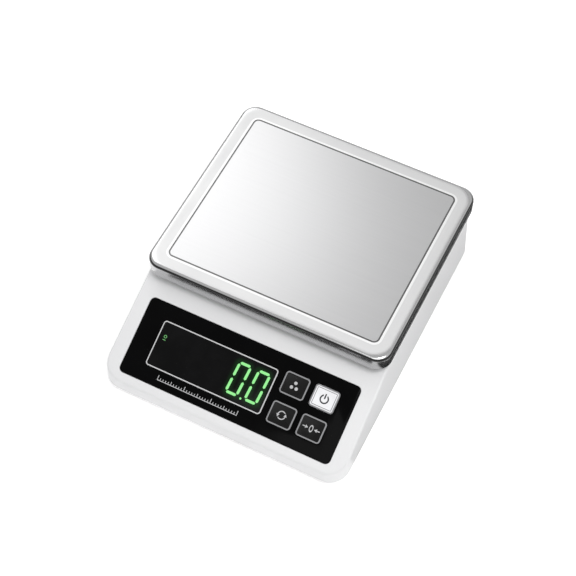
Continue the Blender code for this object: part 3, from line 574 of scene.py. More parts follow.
def moulded(name, light, dark, roughness, grain=0.02 * mm):
    """Moulded plastic or rubber: fine spark-eroded grain, uneven sheen, a little settled dust."""
    material, tree, shader, coordinates = material_named(name, roughness)
    patches, specks = smudges_on(tree, coordinates, 16.0)
    colour = blend_colours(tree, patches, light, dark)
    faded = tuple(0.5 * (a + 0.45) for a in dark)
    colour = blend_colours(tree, reckon(tree, "MULTIPLY", specks, 0.25), colour, faded)
    paint(tree, shader, colour, spread(tree, patches, roughness - 0.04, roughness + 0.05))
    raise_by(tree, shader, noise(tree, coordinates, 2200.0, 2.0, 0.6), grain, 0.25)
    return material


def rod(name, radius, length, centre, turn=(0.0, 0.0, 0.0), sides=32):
    """A cylinder at its size, its place and its turn."""
    bpy.ops.object.select_all(action="DESELECT")
    bpy.ops.mesh.primitive_cylinder_add(vertices=sides, radius=radius, depth=length,
                                        location=centre, rotation=turn)
    piece = bpy.context.object
    piece.name = name
    settle(piece)
    return piece


def disc(name, radius, low, high, place, sides=32):
    """An upright cylinder, from one height to another."""
    return rod(name, radius, high - low, (*place, (low + high) / 2), sides=sides)


def copied(piece, name, move):
    """A copy with its own mesh, moved by a distance."""
    make_active(piece)
    bpy.ops.object.duplicate(linked=False)
    twin = bpy.context.object
    twin.name = name
    twin.location = move
    settle(twin)
    return twin


def dress(material, *nodes):
    """A better material on nodes of the frame whose shape is right."""
    for node in nodes:
        for place in frame["nodes"][node].material_slots:
            place.material = material


def set_at_corners(first, name, node, body):
    """The front left piece in grey rubber, and its copies in the other corners."""
    for corner in CORNERS[1:]:
        twin = copied(first, name + corner, middle_of(node + corner) - middle_of(node + CORNERS[0]))
        finish_with(twin, GREY_RUBBER, body, "grey_rubber", node + corner)
    finish_with(first, GREY_RUBBER, body, "grey_rubber", node + CORNERS[0])


GREY_RUBBER = moulded("grey_rubber", (0.17, 0.17, 0.18), (0.13, 0.13, 0.14), 0.72, 0.04 * mm)
GREY_ABS = moulded("grey_abs", (0.47, 0.48, 0.49), (0.42, 0.43, 0.44), 0.48)
SILICONE = moulded("silicone", (0.72, 0.72, 0.71), (0.66, 0.66, 0.65), 0.62)

pad_low, pad_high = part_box("pan_pad_front_left")
pad = disc("rubber_pad_front_left", (pad_high.x - pad_low.x) / 2, pad_low.z, pad_high.z,
           middle_of("pan_pad_front_left").xy)
round_rim(pad, pad_high.z, PAD_RIM, 3)
pick(pad, "FACE", at_height(pad_high.z))
bpy.ops.mesh.inset(thickness=2.0 * PAD_RIM)
bpy.ops.mesh.inset(thickness=PAD_RIM)
bpy.ops.transform.translate(value=(0.0, 0.0, -PAD_DISH))
clean(pad)
set_at_corners(pad, "rubber_pad_", "pan_pad_", "carrier")
dress(GREY_ABS, "carrier")


# ---------------------------------------------------------------- upper housing
# One injection moulding in white ABS: a low wedge with drafted walls, big soft corners and a
# rolled edge, hollow underneath. Its sloping deck is sunk to take the control panel, and its
# roof has a hole for the post and four stops that catch an overloaded carrier.
HOUSING_CORNER = 14.0 * mm
HOUSING_ROLL = 1.6 * mm
HOUSING_WALL = 3.0 * mm
HOUSING_DRAFT = math.radians(2.5)
PANEL_GAP = 0.3 * mm
PANEL_CORNER = 3.4 * mm
POST_HOLE = (27.0 * mm, 29.0 * mm)
STOP_RADIUS = 3.0 * mm
STOP_PLACES = (62.0 * mm, 50.0 * mm)
ROOF = 44.5 * mm
STOP_TOP = 49.3 * mm
PORT_RECESS = (16.2 * mm, 10.6 * mm)
PORT_SLOT = (10.2 * mm, 4.6 * mm)
PORT_FLOOR = 105.2 * mm
PORT_DEEP = 8.0 * mm
PANEL_THICK = 1.2 * mm
PANEL_PROUD = 0.1 * mm
WINDOW_LEDGE = 2.5 * mm
KEY_HOLE_CORNER = 2.5 * mm
DEEP = 6.0 * mm

shell_low, shell_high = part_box("upper_housing")
press_axis = next(Vector(joint["axis"]) for joint in frame["joints"]
                  if joint["name"] == "key_tare_press")
slope = math.atan2(press_axis.y, -press_axis.z)
overlay_middle = middle_of("panel_overlay")
deck = (Matrix.Translation(overlay_middle) @ Matrix.Rotation(slope, 4, "X")
        @ Matrix.Translation((0.0, 0.0, PANEL_THICK / 2 - PANEL_PROUD)))
deck_up = deck.to_3x3() @ Vector((0.0, 0.0, 1.0))


def wedge_block(name, inset, low):
    """The housing's wedge, drawn in by `inset` on every side but the bottom."""
    lean = (ROOF - inset - low) * math.tan(HOUSING_DRAFT)
    size = (shell_high - shell_low).xy - 2 * Vector((inset, inset))
    middle = (shell_low + shell_high) / 2
    piece = block(name, (*size, ROOF - inset - low), (middle.x, middle.y, (ROOF - inset + low) / 2))
    pick(piece, "FACE", lambda face: face.normal.z > 0.9)
    bpy.ops.transform.resize(value=(1 - 2 * lean / size.x, 1 - 2 * lean / size.y, 1.0),
                             center_override=(middle.x, middle.y, ROOF))
    bpy.ops.mesh.select_all(action="SELECT")
    bpy.ops.mesh.bisect(plane_co=deck.translation - inset * deck_up, plane_no=deck_up,
                        use_fill=True, clear_outer=True)
    pick(piece, "EDGE", upright)
    round_picked(HOUSING_CORNER - inset, 16)
    close_edit()
    return piece


def set_on_deck(piece):
    """Carry a piece modelled flat at the origin to the sloping deck."""
    piece.matrix_world = deck @ piece.matrix_world
    settle(piece)
    return piece


def deck_block(name, size, centre, low, high, corner=0.0, steps=8):
    return set_on_deck(block(name, (*size, high - low), (*centre, (low + high) / 2), corner, steps))


def on_deck(node):
    """The middle of a node, in the deck's own flat coordinates."""
    return (deck.inverted() @ middle_of(node)).xy


def deck_size(node):
    """A node's width, and its length along the slope, from its upper outline."""
    points = [deck.inverted() @ corner.co for corner in frame["nodes"][node].data.vertices]
    top = max(point.z for point in points)
    flat = [point for point in points if point.z > top - 0.5 * mm]
    return tuple(max(p[axis] for p in flat) - min(p[axis] for p in flat) for axis in (0, 1))


def fit_to_deck(piece, material, slot, node=None, body="housing", angle=35.0):
    """Clean a piece modelled flat, carry it to the deck and finish it."""
    clean(set_on_deck(piece), angle)
    finish_with(piece, material, body, slot, *([node] if node else []))


def white_shell_plastic():
    """White ABS: an even fine grain, a breath of flow marks, and dust low down by the table."""
    material, tree, shader, coordinates = material_named("white_abs", 0.42)
    patches, specks = smudges_on(tree, coordinates, 9.0)
    flow = noise(tree, stretched(tree, coordinates, (6.0, 22.0, 22.0)), 1.0, 3.0)
    colour = blend_colours(tree, flow, (0.790, 0.792, 0.802), (0.838, 0.838, 0.842))
    colour = blend_colours(tree, reckon(tree, "MULTIPLY", specks, 0.10), colour, (0.55, 0.54, 0.52))
    height = sides_of(tree, coordinates)["Z"]
    low_down = step_between(tree, height, shell_low.z + 5.0 * mm, shell_low.z)
    dusty = reckon(tree, "MULTIPLY", low_down, reckon(tree, "MULTIPLY", patches, 0.30))
    colour = blend_colours(tree, dusty, colour, (0.60, 0.59, 0.57))
    paint(tree, shader, colour, spread(tree, patches, 0.38, 0.46))
    raise_by(tree, shader, noise(tree, coordinates, 1800.0, 2.0, 0.6), 0.015 * mm, 0.25)
    return material


WHITE_ABS = white_shell_plastic()
PANEL_SIZE = deck_size("panel_overlay")
WINDOW_SIZE = deck_size("display_window")
KEYS = ("key_pcs", "key_on_off", "key_mode", "key_tare")
KEY_SIZE = deck_size("key_tare")


def spaced(size, gap):
    return size[0] + 2 * gap, size[1] + 2 * gap


shell = wedge_block("white_shell", 0.0, shell_low.z)
pick(shell, "EDGE", lambda edge: min(end.co.z for end in edge.verts) > shell_low.z + FINE
     and sorted(face.normal.z > 0.8 for face in edge.link_faces) == [False, True])
round_picked(HOUSING_ROLL, 8)
close_edit()
carve(shell, wedge_block("hollow_tool", HOUSING_WALL, shell_low.z - 2.0 * mm))
carve(shell, deck_block("recess_tool", spaced(PANEL_SIZE, PANEL_GAP), (0.0, 0.0),
                        -PANEL_THICK - PANEL_GAP + PANEL_PROUD, DEEP, PANEL_CORNER + PANEL_GAP))
carve(shell, deck_block("window_tool", spaced(WINDOW_SIZE, -WINDOW_LEDGE), on_deck("display_window"),
                        -DEEP, 0.0, 1.0 * mm, 4))
for key in KEYS:
    carve(shell, deck_block("key_tool", spaced(KEY_SIZE, PANEL_GAP), on_deck(key), -DEEP, 0.0,
                            KEY_HOLE_CORNER, 6))
post_middle = middle_of("load_cell_post")
carve(shell, block("post_tool", (*POST_HOLE, 4 * HOUSING_WALL), (*post_middle.xy, ROOF), 4.0 * mm, 6))
port_middle = middle_of("port_plug")
carve(shell, block("port_tool", (PORT_RECESS[0], PORT_DEEP, PORT_RECESS[1]),
                   (port_middle.x, PORT_FLOOR + PORT_DEEP / 2, port_middle.z)))
carve(shell, block("slot_tool", (PORT_SLOT[0], 4 * HOUSING_WALL, PORT_SLOT[1]),
                   (port_middle.x, PORT_FLOOR, port_middle.z)))
for side in (-1, 1):
    for end in (-1, 1):
        place = (side * STOP_PLACES[0], pan_middle.y + end * STOP_PLACES[1])
        stop = disc("stop_tool", STOP_RADIUS, ROOF - HOUSING_WALL / 2, STOP_TOP, place, 24)
        round_rim(stop, STOP_TOP, 0.5 * mm, 2)
        carve(shell, stop, "UNION")
clean(shell)
finish_with(shell, WHITE_ABS, "housing", "white_abs", "upper_housing")


# ---------------------------------------------------------------- base, gasket, screws and feet
# The underside is a flat white plate sealed to the shell by a silicone gasket and held by a
# self-tapping screw in each corner. Four soft grey feet snap into it by a barbed stem, and
# each has a sunk sole so that it grips like a sucker.
FOOT_RADIUS = 8.0 * mm
FOOT_STEM = 3.1 * mm
FOOT_BARB = 4.1 * mm
FOOT_TIP = 0.54
SOLE_TOP = 3.9 * mm
NECK = 2.8 * mm


def raise_faces(rise):
    bpy.ops.mesh.extrude_region_move(TRANSFORM_OT_translate={"value": (0.0, 0.0, rise)})


def screw_steel():
    """Nickel-plated steel, turned in rings, with a little dark oil left in its low places."""
    material, tree, shader, coordinates = material_named("screw_steel", 0.30, 1.0)
    marks = noise(tree, coordinates, 900.0, 3.0)
    colour = blend_colours(tree, step_between(tree, marks, 0.35, 0.70),
                           (0.42, 0.42, 0.43), (0.62, 0.62, 0.61))
    paint(tree, shader, colour, spread(tree, marks, 0.24, 0.42))
    raise_by(tree, shader, marks, 0.01 * mm, 0.4)
    return material


SCREW_STEEL = screw_steel()
dress(WHITE_ABS, "base")
dress(SILICONE, "housing_gasket")
dress(SCREW_STEEL, *("housing_screw_" + corner for corner in CORNERS))

foot_low, foot_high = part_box("foot_front_left")
first_foot = middle_of("foot_front_left")
foot = disc("rubber_foot_front_left", FOOT_RADIUS, foot_low.z, SOLE_TOP, first_foot.xy, 40)
round_rim(foot, foot_low.z, 0.7 * mm, 3)
pick(foot, "FACE", lambda face: face.normal.z < -0.9 and len(face.verts) > 4)
bpy.ops.mesh.inset(thickness=1.6 * mm)
bpy.ops.mesh.inset(thickness=0.7 * mm)
bpy.ops.transform.translate(value=(0.0, 0.0, 0.6 * mm))
pick(foot, "FACE", at_height(SOLE_TOP))
bpy.ops.mesh.inset(thickness=FOOT_RADIUS - FOOT_STEM)
for rise, spread_to in ((NECK, 1.0), (0.0, FOOT_BARB / FOOT_STEM),
                        (foot_high.z - SOLE_TOP - NECK, FOOT_TIP)):
    raise_faces(rise)
    bpy.ops.transform.resize(value=(spread_to, spread_to, 1.0), center_override=(*first_foot.xy, 0.0))
clean(foot)
set_at_corners(foot, "rubber_foot_", "foot_", "housing")


# ---------------------------------------------------------------- control panel
# A gloss black acrylic overlay is glued into the recess of the deck. It is cut out for the
# display window and for the keys, and a small light rule is screen-printed on it in grey.
RULE_LEFT, RULE_RIGHT = -50.0 * mm, 9.0 * mm
RULE_Y = -20.5 * mm
RULE_LINE = 0.45 * mm
RULE_HIGH = 3.0 * mm
TICKS = 31
TALL_TICK, MIDDLE_TICK, LOW_TICK = 3.2 * mm, 2.4 * mm, 1.6 * mm
WINDOW_HOLE_CORNER = 2.4 * mm
INK = 0.03 * mm


def gloss_black(name, colour, roughness):
    """Black acrylic, wiped unevenly, with hairline scratches and a few specks of dust."""
    material, tree, shader, coordinates = material_named(name, roughness, specular=0.06)
    patches, specks = smudges_on(tree, coordinates, 34.0)
    hairlines = placed_group(tree, BRUSH_MARKS, Vector=coordinates, Stretch=(60.0, 1500.0, 1500.0))
    shade = blend_colours(tree, patches, colour, tuple(1.6 * channel for channel in colour))
    shade = blend_colours(tree, reckon(tree, "MULTIPLY", specks, 0.06), shade, (0.35, 0.35, 0.34))
    paint(tree, shader, shade, spread(tree, patches, roughness - 0.03, roughness + 0.07))
    raise_by(tree, shader, hairlines.outputs["Height"], 0.002 * mm, 0.15)
    return material, tree, shader, coordinates


def printed_ink(name, colour):
    """Screen-printed ink, a little thin here and there."""
    material, tree, shader, coordinates = material_named(name, 0.55, specular=0.2)
    thin = step_between(tree, noise(tree, coordinates, 700.0, 3.0), 0.30, 0.75)
    shade = blend_colours(tree, thin, colour, tuple(0.82 * channel for channel in colour))
    tree.links.new(shade, shader.inputs["Base Color"])
    return material


def joined(name, pieces):
    """Several like marks made one object."""
    make_active(pieces[0])
    for piece in pieces[1:]:
        piece.select_set(True)
    if len(pieces) > 1:
        bpy.ops.object.join()
    bpy.context.object.name = name
    return bpy.context.object


def bar(centre, size, low, chamfer=0.3):
    """One flat stroke on the deck's plane: a thin block with its ends chamfered."""
    piece = block("bar", (*size, INK), (*centre, low + INK / 2))
    pick(piece, "EDGE", upright)
    bpy.ops.mesh.bevel(offset=chamfer * min(size), segments=1, affect="EDGES")
    close_edit()
    return piece


PANEL_BLACK = gloss_black("panel_gloss", (0.0008, 0.0008, 0.0009), 0.10)[0]
GREY_INK = printed_ink("grey_ink", (0.58, 0.58, 0.59))
window_place = on_deck("display_window")
panel = block("panel_face", (*PANEL_SIZE, PANEL_THICK), (0.0, 0.0, PANEL_PROUD - PANEL_THICK / 2),
              PANEL_CORNER, 12)
round_rim(panel, PANEL_PROUD, 0.2 * mm, 2)
carve(panel, block("window_tool", (*spaced(WINDOW_SIZE, 0.2 * mm), DEEP), (*window_place, 0.0),
                   WINDOW_HOLE_CORNER))
for key in KEYS:
    carve(panel, block("key_tool", (*spaced(KEY_SIZE, PANEL_GAP), DEEP), (*on_deck(key), 0.0),
                       KEY_HOLE_CORNER))
fit_to_deck(panel, PANEL_BLACK, "panel_gloss", "panel_overlay")

rule_foot = RULE_Y - RULE_HIGH / 2
rule_length = RULE_RIGHT - RULE_LEFT
marks = [bar(((RULE_LEFT + RULE_RIGHT) / 2, rule_foot), (rule_length, RULE_LINE), PANEL_PROUD)]
for tick in range(TICKS):
    tall = TALL_TICK if tick % 10 == 0 else MIDDLE_TICK if tick % 5 == 0 else LOW_TICK
    x = RULE_LEFT + RULE_LINE / 2 + tick * (rule_length - RULE_LINE) / (TICKS - 1)
    marks.append(bar((x, rule_foot + tall / 2), (RULE_LINE, tall), PANEL_PROUD))
rule = joined("printed_rule", marks)
fit_to_deck(rule, GREY_INK, "panel_gloss")


# ---------------------------------------------------------------- display
# Behind a smoked acrylic window sits a block of seven-segment LED digits, 22 mm high and
# leaning a little. Two zeros and the point between them are lit, with a small unit mark at
# the left, and their light spreads dimly in the window round them.
WINDOW_CORNER = 2.2 * mm
WINDOW_LINE = 0.7 * mm
DIGIT_HALF = 10.3 * mm
DIGIT_REACH = 3.95 * mm
SEGMENT = 1.8 * mm
SEGMENT_GAP = 0.35 * mm
SEGMENT_POINT = 0.42
DIGIT_LEAN = math.radians(3.0)
DIGIT_PLACES = (0.0, 13.9 * mm)
POINT_PLACE = (6.6 * mm, -11.0 * mm)
POINT_RADIUS = 0.75 * mm
UNIT_PLACE = Vector((-57.0 * mm, 5.2 * mm))
UNIT_RADIUS = 1.15 * mm
HALO_REACH = 4.2 * mm


def lit_green(name, glow):
    """Green LED plastic, grainy where the diffuser scatters the light."""
    material, tree, shader, coordinates = material_named(name, 0.5, specular=0.1)
    grainy = noise(tree, coordinates, 900.0, 2.0)
    colour = blend_colours(tree, grainy, (0.22, 0.80, 0.24), (0.40, 0.90, 0.36))
    tree.links.new(colour, shader.inputs["Emission Color"])
    shader.inputs["Emission Strength"].default_value = glow
    shader.inputs["Base Color"].default_value = (0.02, 0.06, 0.02, 1.0)
    return material


def smoked_window():
    """Smoked acrylic, with a printed border and the green light that leaks round the digits."""
    material, tree, shader, coordinates = gloss_black("smoked_window", (0.0042, 0.0042, 0.0044), 0.09)
    x, y, z = sides_of(tree, moved_to(tree, coordinates, deck.translation, slope))
    border = outline(tree, reckon(tree, "SUBTRACT", x, window_place.x),
                     reckon(tree, "SUBTRACT", y, window_place.y),
                     [side / 2 for side in WINDOW_SIZE], WINDOW_CORNER)
    printed = step_between(tree, border, -WINDOW_LINE - 0.1 * mm, -WINDOW_LINE + 0.05 * mm)
    plain = shader.inputs["Base Color"].links[0].from_socket
    lined = blend_colours(tree, printed, plain, (0.66, 0.66, 0.665))
    tree.links.new(lined, shader.inputs["Base Color"])
    glow = 0.0
    for place in DIGIT_PLACES:
        near = reckon(tree, "ABSOLUTE", outline(tree, reckon(tree, "SUBTRACT", x, place), y,
                                                (DIGIT_REACH, DIGIT_HALF), 1.0 * mm))
        fade = step_between(tree, near, HALO_REACH, 0.4 * mm)
        glow = reckon(tree, "MAXIMUM", glow, fade)
    colour = blend_colours(tree, glow, (0.0, 0.0, 0.0), (0.002, 0.022, 0.003))
    tree.links.new(colour, shader.inputs["Emission Color"])
    shader.inputs["Emission Strength"].default_value = 1.0
    return material


window = block("display_glass", (*WINDOW_SIZE, PANEL_THICK),
               (*window_place, PANEL_PROUD - PANEL_THICK / 2), WINDOW_CORNER, 10)
round_rim(window, PANEL_PROUD, 0.15 * mm, 2)
fit_to_deck(window, smoked_window(), "smoked_window", "display_window")


LIT_GREEN = lit_green("lit_segment", 1.0)
side_length = DIGIT_HALF - SEGMENT / 2 - 2 * SEGMENT_GAP
end_length = 2 * DIGIT_REACH - 2 * SEGMENT_GAP
for number, place in enumerate(DIGIT_PLACES):
    places = [(0.0, end * DIGIT_HALF, end_length, SEGMENT) for end in (-1, 1)]
    places += [(side * DIGIT_REACH, end * DIGIT_HALF / 2, SEGMENT, side_length)
               for side in (-1, 1) for end in (-1, 1)]
    segments = [bar((x, y), (width, length), PANEL_PROUD, SEGMENT_POINT)
                for x, y, width, length in places]
    digit = joined(("lit_zero_units", "lit_zero_tenths")[number], segments)
    for corner in digit.data.vertices:
        corner.co.x += place + corner.co.y * math.tan(DIGIT_LEAN)
    fit_to_deck(digit, LIT_GREEN, "led_block")
point = disc("lit_point", POINT_RADIUS, PANEL_PROUD, PANEL_PROUD + INK, POINT_PLACE, 24)
fit_to_deck(point, LIT_GREEN, "led_block")
unit_ring = disc("unit_ring", UNIT_RADIUS, PANEL_PROUD, PANEL_PROUD + INK,
                 UNIT_PLACE + Vector((0.0, 0.7 * mm)), 24)
take_out_middle(unit_ring, 0.45 * mm)
unit_foot = bar(UNIT_PLACE - Vector((0.0, 1.6 * mm)), (2.2 * mm, 0.5 * mm), PANEL_PROUD)
unit = joined("lit_unit_mark", [unit_ring, unit_foot])
fit_to_deck(unit, lit_green("dim_segment", 0.45), "led_block")
dress(moulded("led_block", (0.022, 0.022, 0.023), (0.035, 0.035, 0.036), 0.50), "led_display")


# ---------------------------------------------------------------- keys
# Four hard caps stand in the panel's openings, held from below by a flange, and each is
# pressed against its own switch. Three are black with a grey printed frame, and the power key
# is white. Their marks are plain signs: pieces, power, change of mode, and back to zero.
KEY_TOP = 0.15 * mm
KEY_FLANGE = 1.1 * mm
FLANGE_TOP = -3.3 * mm
FLANGE_THICK = 1.9 * mm
KEY_CORNER = 2.2 * mm
KEY_FRAME = 0.9 * mm
SECOND_FRAME = 1.75 * mm
KEY_DISH = 0.08 * mm
WHITE_KEY = ((0.93, 0.93, 0.95), (0.30, 0.30, 0.31))
BLACK_KEY = ((0.004, 0.004, 0.004), (0.31, 0.31, 0.32))
SIGN = 0.65 * mm
BOLD = 0.9 * mm
SIGN_LOW = KEY_TOP - KEY_DISH


def key_plastic(name, centre, face, line, second_line):
    """A hard gloss cap, with a printed frame and, if asked, a second one inside it."""
    material, tree, shader, coordinates = material_named(name, 0.30, specular=0.20)
    x, y, z = sides_of(tree, moved_to(tree, coordinates, deck @ Vector((*centre, 0.0)), slope))
    distance = outline(tree, x, y, [side / 2 for side in KEY_SIZE], KEY_CORNER)
    printed = step_between(tree, distance, -KEY_FRAME - 0.08 * mm, -KEY_FRAME + 0.08 * mm)
    if second_line:
        inner = reckon(tree, "ABSOLUTE", reckon(tree, "ADD", distance, SECOND_FRAME))
        printed = reckon(tree, "MAXIMUM", printed, step_between(tree, inner, 0.30 * mm, 0.18 * mm))
    on_top = step_between(tree, z, -0.45 * mm, -0.25 * mm)
    patches = smudges_on(tree, coordinates, 90.0)[0]
    worn = blend_colours(tree, patches, face, tuple(0.88 * channel + 0.002 for channel in face))
    paint(tree, shader, blend_colours(tree, reckon(tree, "MULTIPLY", printed, on_top), worn, line),
          spread(tree, patches, 0.24, 0.36))
    raise_by(tree, shader, noise(tree, coordinates, 2500.0), 0.006 * mm, 0.2)
    return material


def ring_sign(centre, radius, width=SIGN):
    """A flat printed ring."""
    piece = disc("ring", radius, SIGN_LOW, SIGN_LOW + INK, centre, 40)
    take_out_middle(piece, width)
    return piece


def arrow_head(centre, reach, turn):
    """A flat printed triangle that points along a turn from +X."""
    return rod("arrow_head", reach, INK, (*centre, SIGN_LOW + INK / 2),
               (0.0, 0.0, turn - math.pi / 2), 3)


def opened(ring, centre, size):
    """Cut a gap in a printed ring."""
    carve(ring, block("gap_tool", (*size, 1.0 * mm), (*centre, 0.0)))


def stroke(centre, size):
    return bar(centre, size, SIGN_LOW)


def pieces_sign(x, y):
    """Three counted pieces in a heap."""
    return [stroke((x + across * mm, y + up * mm), (2.2 * mm, 2.2 * mm))
            for across, up in ((-1.7, -1.6), (1.7, -1.6), (0.0, 1.7))]


def power_sign(x, y):
    """A ring open at the top, with a bar standing in the gap."""
    ring = ring_sign((x, y - 0.3 * mm), 3.1 * mm, BOLD)
    opened(ring, (x, y + 2.6 * mm), (2.6 * mm, 2.6 * mm))
    return [ring, stroke((x, y + 1.6 * mm), (BOLD, 3.6 * mm))]


def mode_sign(x, y):
    """Two arrows that chase each other round a ring."""
    ring = ring_sign((x, y), 2.9 * mm)
    for side in (-1, 1):
        opened(ring, (x + side * 2.5 * mm, y + side * 0.9 * mm), (1.9 * mm, 1.9 * mm))
    return [ring] + [arrow_head((x + side * 2.55 * mm, y + side * 0.45 * mm), 1.25 * mm,
                                side * math.pi / 2) for side in (-1, 1)]


def zero_sign(x, y):
    """A nought between two arrows that point at it."""
    ring = ring_sign((x, y), 1.8 * mm)
    pick(ring, "VERT", lambda corner: True)
    bpy.ops.transform.resize(value=(0.72, 1.35, 1.0), center_override=(x, y, 0.0))
    close_edit()
    sides = []
    for side in (-1, 1):
        sides.append(stroke((x + side * 5.1 * mm, y), (2.0 * mm, SIGN)))
        sides.append(arrow_head((x + side * 3.4 * mm, y), 1.3 * mm, 0.0 if side < 0 else math.pi))
    return [ring] + sides


DARK_INK = printed_ink("dark_ink", (0.03, 0.03, 0.035))
KEY_SIGNS = (pieces_sign, power_sign, mode_sign, zero_sign)
for key, draw_sign in zip(KEYS, KEY_SIGNS):
    white = key == "key_on_off"
    key_slot = "key_white" if white else "key_black"
    centre = on_deck(key)
    cap = block(key + "_cap", (*spaced(KEY_SIZE, KEY_FLANGE), FLANGE_THICK),
                (*centre, FLANGE_TOP - FLANGE_THICK / 2), KEY_CORNER + KEY_FLANGE)
    pick(cap, "FACE", at_height(FLANGE_TOP))
    bpy.ops.mesh.inset(thickness=KEY_FLANGE)
    raise_faces(KEY_TOP - FLANGE_TOP)
    round_rim(cap, KEY_TOP, 0.3 * mm, 3)
    pick(cap, "FACE", at_height(KEY_TOP))
    bpy.ops.mesh.inset(thickness=KEY_FRAME)
    bpy.ops.mesh.inset(thickness=0.3 * mm)
    bpy.ops.transform.translate(value=(0.0, 0.0, -KEY_DISH))
    tones = WHITE_KEY if white else BLACK_KEY
    fit_to_deck(cap, key_plastic(key + "_plastic", centre, *tones, white), key_slot, key, key, 50.0)
    sign = joined(key + "_sign", draw_sign(*centre))
    fit_to_deck(sign, DARK_INK if white else GREY_INK, key_slot, body=key)


# ---------------------------------------------------------------- charging port
# A soft plug closes the charging socket in the back wall. Its flange drops into a recess, its
# nose fills the slot, and three low ribs give a fingernail something to pull on.
PLUG_FLANGE = (15.6 * mm, 10.0 * mm, 1.7 * mm)
PLUG_NOSE_HIGH = 2.0 * mm
PLUG_NOSE_LONG = 4.4 * mm
PLUG_ROOT = 0.6 * mm
RIB_SIZE = (8.0 * mm, 0.6 * mm, 0.5 * mm)
RIB_STEP = 1.6 * mm
plug_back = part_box("port_plug")[1].y

plug = block("rubber_port_plug", PLUG_FLANGE, (0.0, 0.0, 0.0), 0.6 * mm, 4)
round_rim(plug, PLUG_FLANGE[2] / 2, 0.4 * mm, 3)
pick(plug, "FACE", at_height(-PLUG_FLANGE[2] / 2))
bpy.ops.mesh.inset(thickness=(PLUG_FLANGE[1] - PLUG_NOSE_HIGH) / 2 - PLUG_ROOT)
raise_faces(-PLUG_NOSE_LONG)
bpy.ops.transform.resize(value=(0.94, 0.70, 1.0), center_override=(0.0, 0.0, 0.0))
close_edit()
for shift in (-1, 0, 1):
    rib = block("rib", RIB_SIZE, (0.0, shift * RIB_STEP, PLUG_FLANGE[2] / 2), 0.25 * mm, 3)
    round_rim(rib, PLUG_FLANGE[2] / 2 + RIB_SIZE[2] / 2, 0.15 * mm, 2)
    carve(plug, rib, "UNION")
plug.rotation_euler = (-math.pi / 2, 0.0, 0.0)
plug.location = (port_middle.x, plug_back - PLUG_FLANGE[2] / 2, port_middle.z)
settle(plug)
clean(plug)
finish_with(plug, GREY_RUBBER, "port_plug", "grey_rubber", "port_plug")


def streaked(name, metallic, stretch, dark, light, sheen, height=0.0):
    """A finish drawn out in fine streaks: rolled plate, milled metal or a shrunk sleeve."""
    material, tree, shader, coordinates = material_named(name, metallic=metallic)
    streaks = placed_group(tree, BRUSH_MARKS, Vector=coordinates, Stretch=stretch)
    mask = streaks.outputs["Mask"]
    paint(tree, shader, blend_colours(tree, mask, dark, light), spread(tree, mask, *sheen))
    if height:
        raise_by(tree, shader, streaks.outputs["Height"], height, 0.4)
    return material


PLATED_STEEL = streaked("plated_steel", 1.0, (900.0, 60.0, 900.0),
                        (0.50, 0.50, 0.51), (0.72, 0.72, 0.72), (0.20, 0.34))
dress(PLATED_STEEL, "charge_socket", "battery_contact_front", "battery_contact_back")


# ---------------------------------------------------------------- load cell
# The scale weighs with one beam of machined aluminium, bolted to the base behind and to the
# carrier's post in front. Two bores joined by a slot leave thin webs that bend, and strain
# gauges sit on them under a white coating. A silicone collar seals the roof round the post.
CELL_BORE = 4.4 * mm
CELL_BORE_PLACE = 6.5 * mm
CELL_SLOT = 2.0 * mm
BOLT_HOLE = 2.4 * mm
BOLT_PLACES = (20.0 * mm, 35.0 * mm)
cell_low, cell_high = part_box("load_cell")
cell_middle = middle_of("load_cell")

ALUMINIUM = streaked("machined_aluminium", 1.0, (1400.0, 120.0, 1400.0),
                     (0.66, 0.67, 0.68), (0.82, 0.83, 0.84), (0.28, 0.44), 0.01 * mm)
cell = block("load_cell_beam", cell_high - cell_low, cell_middle)
pick(cell, "EDGE", lambda edge: True)
round_picked(0.4 * mm, 2)
close_edit()
for side in (-1, 1):
    carve(cell, rod("bore_tool", CELL_BORE, 4 * CELL_BORE,
                    cell_middle + Vector((0.0, side * CELL_BORE_PLACE, 0.0)),
                    (0.0, math.pi / 2, 0.0), 40))
    for place in BOLT_PLACES:
        carve(cell, disc("hole_tool", BOLT_HOLE, cell_low.z - mm, cell_high.z + mm,
                         (0.0, cell_middle.y + side * place), 24))
carve(cell, block("slot_tool", (4 * CELL_BORE, 2 * CELL_BORE_PLACE, CELL_SLOT), cell_middle))
clean(cell)
finish_with(cell, ALUMINIUM, None, "machined_aluminium", "load_cell")
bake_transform(cell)
dress(ALUMINIUM, "load_cell_spacer", "load_cell_post")
dress(SILICONE, "gauge_coating", "post_seal", "battery_seal")
dress(SCREW_STEEL, "anchor_bolt_front", "anchor_bolt_back", "post_bolt_front", "post_bolt_back",
      "battery_cover_screw_front", "battery_cover_screw_back",
      *("board_screw_" + corner for corner in CORNERS))


# ---------------------------------------------------------------- circuit boards
# The main board hangs under the deck on four screws. It carries the digit block and a tact
# switch under each key on its upper side, and the controller and the leads' connector below.
# A second small board holds the charging socket. Both are green, with tinned copper tracks.
TRACK_SCALE = 260.0


def cells_of(tree, vector, feature):
    """The distances of a Voronoi pattern: to a cell's middle, or to its edge."""
    node = tree.nodes.new("ShaderNodeTexVoronoi")
    node.feature = feature
    node.inputs["Scale"].default_value = TRACK_SCALE
    tree.links.new(vector, node.inputs["Vector"])
    return node.outputs["Distance"]


